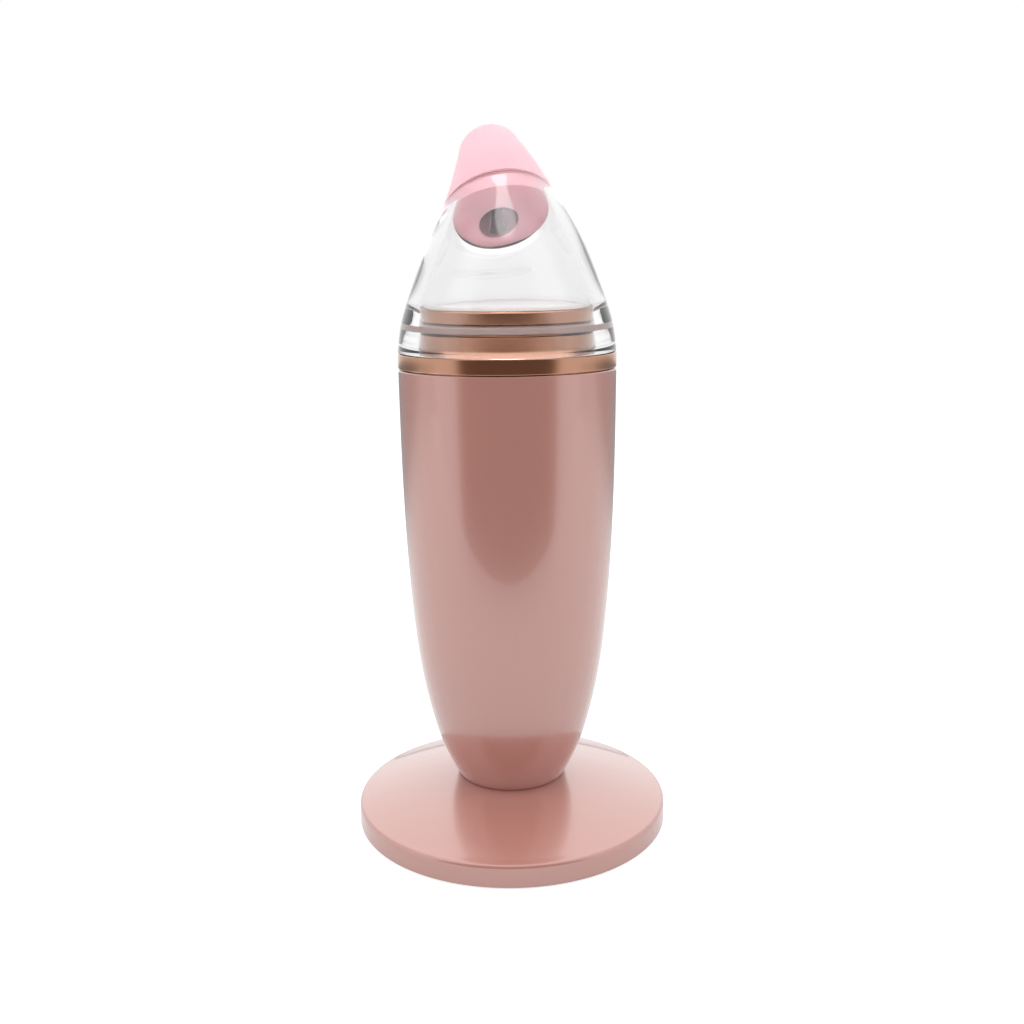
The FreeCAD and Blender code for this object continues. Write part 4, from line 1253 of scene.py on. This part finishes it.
# ---- studio ------------------------------------------------------------------------------
@dataclass
class Studio:
    """Camera, floor, lamps and white surroundings."""

    kinds: tuple[str, str, str] = ("Camera", "Glossy", "Transmission")
    eye: tuple[float, float, float] = (0.0007, -0.25155, 0.12683)
    pitch: float = 11.99
    roll: float = 0.6
    lens: float = 39.73
    floor_colour: float = 0.6
    floor_lifts: tuple[float, float, float] = (0.7, 0.28, 0.44)
    floor_behind: float = 0.2
    floor_change: tuple[float, float] = (0.1, 0.4)
    floor_ends: tuple[float, float, float] = (1.6, -0.18, 1.2)
    fill: float = 0.6
    opening: tuple[float, float] = (46.0, 58.0)
    opening_tint: Colour = (1.0, 0.72, 0.55)
    opening_light: float = 0.19
    seen_through: float = 0.2
    slit: tuple[float, float] = (-0.25, 2.0)
    slit_soft: float = 0.1
    behind_dome: float = 0.93
    front_light: float = 1.5
    front_gap: tuple[float, float] = (0.12, 0.3)
    front_reach: tuple[float, float] = (-0.1, 0.3)
    high_light: float = 1.6
    high_reach: tuple[float, float] = (0.7, 1.4)
    spot: tuple[float, float, float] = (0.0, -0.3, 0.954)
    spot_size: tuple[float, float] = (15.0, 11.0)
    spot_light: float = 6.0
    lamp_aim: tuple[float, float, float] = (0.0, 0.0, 0.08)
    side_place: tuple[float, float, float] = (0.55, -0.25, 0.30)
    side_size: tuple[float, float] = (0.5, 0.8)
    side_powers: tuple[float, float] = (1.7, 1.6)
    top_place: tuple[float, float, float] = (0.0, -0.05, 0.75)
    top_size: tuple[float, float] = (0.9, 0.7)
    top_power: float = 3.4

    def camera(self) -> None:
        """A level-standing camera that looks slightly down at the front."""
        data = bpy.data.cameras.new("studio_camera")
        data.lens = self.lens
        data.sensor_width = 36.0
        data.clip_start = 0.01
        eye = bpy.data.objects.new("studio_camera", data)
        bpy.context.scene.collection.objects.link(eye)
        turn = Matrix.Rotation(math.radians(90 - self.pitch), 4, "X") @ Matrix.Rotation(
            math.radians(-self.roll), 4, "Z")
        eye.matrix_world = Matrix.Translation(self.eye) @ turn
        bpy.context.scene.camera = eye

    def floor(self) -> None:
        """A plain pale floor that keeps the object's shadow and ends a little in front of the object."""
        side, front, back = self.floor_ends
        mesh = bpy.data.meshes.new("studio_floor")
        mesh.from_pydata([(-side, front, 0), (side, front, 0), (side, back, 0), (-side, back, 0)], [],
                         [(0, 1, 2, 3)])
        floor = bpy.data.objects.new("studio_floor", mesh)
        bpy.context.scene.collection.objects.link(floor)
        made = bpy.data.materials.new("pale_floor")
        made.use_nodes = True
        tree = made.node_tree
        shader = tree.nodes["Principled BSDF"]
        shader.inputs["Roughness"].default_value = 1.0
        shader.inputs["Specular IOR Level"].default_value = 0.0
        shader.inputs["Emission Color"].default_value = (1, 1, 1, 1)
        rays = tree.nodes.new("ShaderNodeLightPath")
        lifts = [maths(tree, "MULTIPLY", rays.outputs[f"Is {kind} Ray"], lift)
                 for kind, lift in zip(self.kinds, self.floor_lifts)]
        place = tree.nodes.new("ShaderNodeSeparateXYZ")
        tree.links.new(object_place(tree), place.inputs[0])
        behind = self.ramp(tree, place.outputs["Y"], self.floor_change, (0.0, 1.0))
        mirrored = maths(tree, "SUBTRACT", rays.outputs["Is Glossy Ray"], rays.outputs["Is Transmission Ray"])
        dim = maths(tree, "MULTIPLY", maths(tree, "MAXIMUM", mirrored, 0.0), behind)
        lifts[1] = maths(tree, "MULTIPLY", lifts[1], maths(tree, "SUBTRACT", 1.0, behind))
        lift = maths(tree, "MAXIMUM", lifts[0], maths(tree, "MAXIMUM", lifts[1], lifts[2]))
        tone = maths(tree, "SUBTRACT", self.floor_colour, maths(tree, "MULTIPLY", dim, self.floor_behind))
        grey = tree.nodes.new("ShaderNodeCombineColor")
        for channel in grey.inputs:
            tree.links.new(tone, channel)
        tree.links.new(grey.outputs[0], shader.inputs["Base Color"])
        tree.links.new(lift, shader.inputs["Emission Strength"])
        mesh.materials.append(made)

    def lamp(self, name: str, place: tuple[float, float, float], aim: tuple[float, float, float],
             size: tuple[float, float], power: float) -> None:
        """One soft box, aimed at a point and out of the camera's sight.

        Args:
            name: the lamp's name.
            place: where it stands.
            aim: the point that it faces.
            size: its width and height.
            power: its power in watts.
        """
        data = bpy.data.lights.new(name, "AREA")
        data.shape = "RECTANGLE"
        data.size, data.size_y = size
        data.energy = power
        lamp = bpy.data.objects.new(name, data)
        lamp.location = place
        lamp.rotation_euler = (Vector(aim) - Vector(place)).to_track_quat("-Z", "Y").to_euler()
        lamp.visible_camera = False
        lamp.visible_transmission = False
        lamp.visible_glossy = False
        bpy.context.scene.collection.objects.link(lamp)

    def opening_edge(self) -> tuple[float, float]:
        """Cosines of the angles from the front between which the opening's edge fades."""
        return math.cos(math.radians(self.opening[1])), math.cos(math.radians(self.opening[0]))

    def tent_light(self, tree: bpy.types.NodeTree, way: bpy.types.Node,
                   front: bpy.types.NodeSocket) -> bpy.types.NodeSocket:
        """Tent that the object mirrors: dim in the opening and brighter high up behind.

        Args:
            tree: the world's node tree.
            way: node that splits a ray's direction.
            front: how far a ray points to the front.

        Returns:
            The light's strength.
        """
        height = maths(tree, "ADD", way.outputs["Y"], way.outputs["Z"])
        above = self.ramp(tree, height, self.high_reach, (1.0, self.high_light))
        return maths(tree, "MULTIPLY", self.ramp(tree, front, self.opening_edge(), (1.0, self.opening_light)),
                     above)

    def slit_depth(self, tree: bpy.types.NodeTree, off: bpy.types.NodeSocket, front: bpy.types.NodeSocket,
                   ends: tuple[float, float]) -> bpy.types.NodeSocket:
        """How a value changes from outside the opening to inside it, for rays that come through the dome.

        Args:
            tree: the world's node tree.
            off: how far a ray points above or below the opening's level.
            front: how far a ray points to the front.
            ends: the values outside and inside.

        Returns:
            The value.
        """
        start, end = self.opening_edge()
        slit = maths(tree, "SUBTRACT", front, maths(tree, "MULTIPLY", off, self.slit[1]))
        return self.ramp(tree, slit, (start - self.slit_soft, end + self.slit_soft), ends)

    def dome_light(self, tree: bpy.types.NodeTree, way: bpy.types.Node, front: bpy.types.NodeSocket,
                   off: bpy.types.NodeSocket) -> bpy.types.NodeSocket:
        """Surroundings for rays that come through the dome, with a bright spot overhead.

        Args:
            tree: the world's node tree.
            way: node that splits a ray's direction.
            front: how far a ray points to the front.
            off: how far a ray points above or below the opening's level.

        Returns:
            The light's strength.
        """
        tent = self.slit_depth(tree, off, front, (self.behind_dome, self.seen_through))
        outside = self.ramp(tree, off, self.front_gap, (0.0, self.front_light))
        boost = maths(tree, "MULTIPLY", outside, self.ramp(tree, front, self.front_reach, (0.0, 1.0)))
        turned = [maths(tree, "MULTIPLY", part, value) for part, value in zip(way.outputs, self.spot)]
        close = maths(tree, "ADD", turned[0], maths(tree, "ADD", turned[1], turned[2]))
        size = tuple(math.cos(math.radians(angle)) for angle in self.spot_size)
        spot = self.ramp(tree, close, size, (0.0, self.spot_light))
        return maths(tree, "ADD", maths(tree, "ADD", tent, boost), spot)

    def surroundings(self) -> None:
        """A white tent with a dim warm opening in front, white all over where the eye sees it."""
        world = bpy.data.worlds.new("studio_world")
        bpy.context.scene.world = world
        world.use_nodes = True
        tree = world.node_tree
        back = tree.nodes["Background"]
        rays = tree.nodes.new("ShaderNodeLightPath")
        way = tree.nodes.new("ShaderNodeSeparateXYZ")
        tree.links.new(tree.nodes.new("ShaderNodeTexCoord").outputs["Generated"], way.inputs[0])
        front = maths(tree, "SUBTRACT", 0.0, way.outputs["Y"])
        off = maths(tree, "ABSOLUTE", maths(tree, "SUBTRACT", way.outputs["Z"], self.slit[0]), 0.0)
        camera, glossy, passing = (rays.outputs[f"Is {kind} Ray"] for kind in self.kinds)
        glossy = maths(tree, "MULTIPLY", glossy, maths(tree, "SUBTRACT", 1.0, passing))
        seen = maths(tree, "MAXIMUM", camera, maths(tree, "MAXIMUM", glossy, passing))
        plain = maths(tree, "SUBTRACT", 1.0, seen)
        total = maths(tree, "ADD", camera, maths(tree, "MULTIPLY", plain, self.fill))
        for share, light in ((glossy, self.tent_light(tree, way, front)),
                             (passing, self.dome_light(tree, way, front, off))):
            total = maths(tree, "ADD", total, maths(tree, "MULTIPLY", share, light))
        tree.links.new(total, back.inputs["Strength"])
        mirrored = maths(tree, "MULTIPLY", glossy, self.ramp(tree, front, self.opening_edge(), (0.0, 1.0)))
        refracted = maths(tree, "MULTIPLY", passing, self.slit_depth(tree, off, front, (0.0, 1.0)))
        tint = tree.nodes.new("ShaderNodeMix")
        tint.data_type = "RGBA"
        tree.links.new(maths(tree, "MAXIMUM", mirrored, refracted), tint.inputs["Factor"])
        tint.inputs["A"].default_value = (1, 1, 1, 1)
        tint.inputs["B"].default_value = (*self.opening_tint, 1)
        tree.links.new(tint.outputs["Result"], back.inputs["Color"])

    def ramp(self, tree: bpy.types.NodeTree, value: bpy.types.NodeSocket, start: tuple[float, float],
             end: tuple[float, float]) -> bpy.types.NodeSocket:
        """Smooth change from one value to another over a range.

        Args:
            tree: the node tree.
            value: the socket that changes.
            start: where the change begins and ends.
            end: the values there.

        Returns:
            The changed value.
        """
        node = tree.nodes.new("ShaderNodeMapRange")
        node.interpolation_type = "SMOOTHSTEP"
        for name, number in zip(("From Min", "From Max", "To Min", "To Max"), (*start, *end)):
            node.inputs[name].default_value = number
        tree.links.new(value, node.inputs["Value"])
        return node.outputs[0]

    def build(self) -> None:
        """Set up the studio."""
        self.camera()
        self.floor()
        x, y, z = self.side_place
        left, right = self.side_powers
        self.lamp("left_soft_box", (-x, y, z), self.lamp_aim, self.side_size, left)
        self.lamp("right_soft_box", (x, y, z), self.lamp_aim, self.side_size, right)
        self.lamp("top_soft_box", self.top_place, self.lamp_aim, self.top_size, self.top_power)
        self.surroundings()
        bpy.context.scene.view_settings.view_transform = "Standard"


def main() -> None:
    """Build the looks in order."""
    logging.basicConfig(level=logging.INFO, format="%(message)s")
    Studio().build()
    dress_nodes()
    Stand().build()
    Handle().build()
    dome = ClearDome()
    dome.build()
    SiliconeHead(dome).build()


if __name__ == "__main__":
    main()
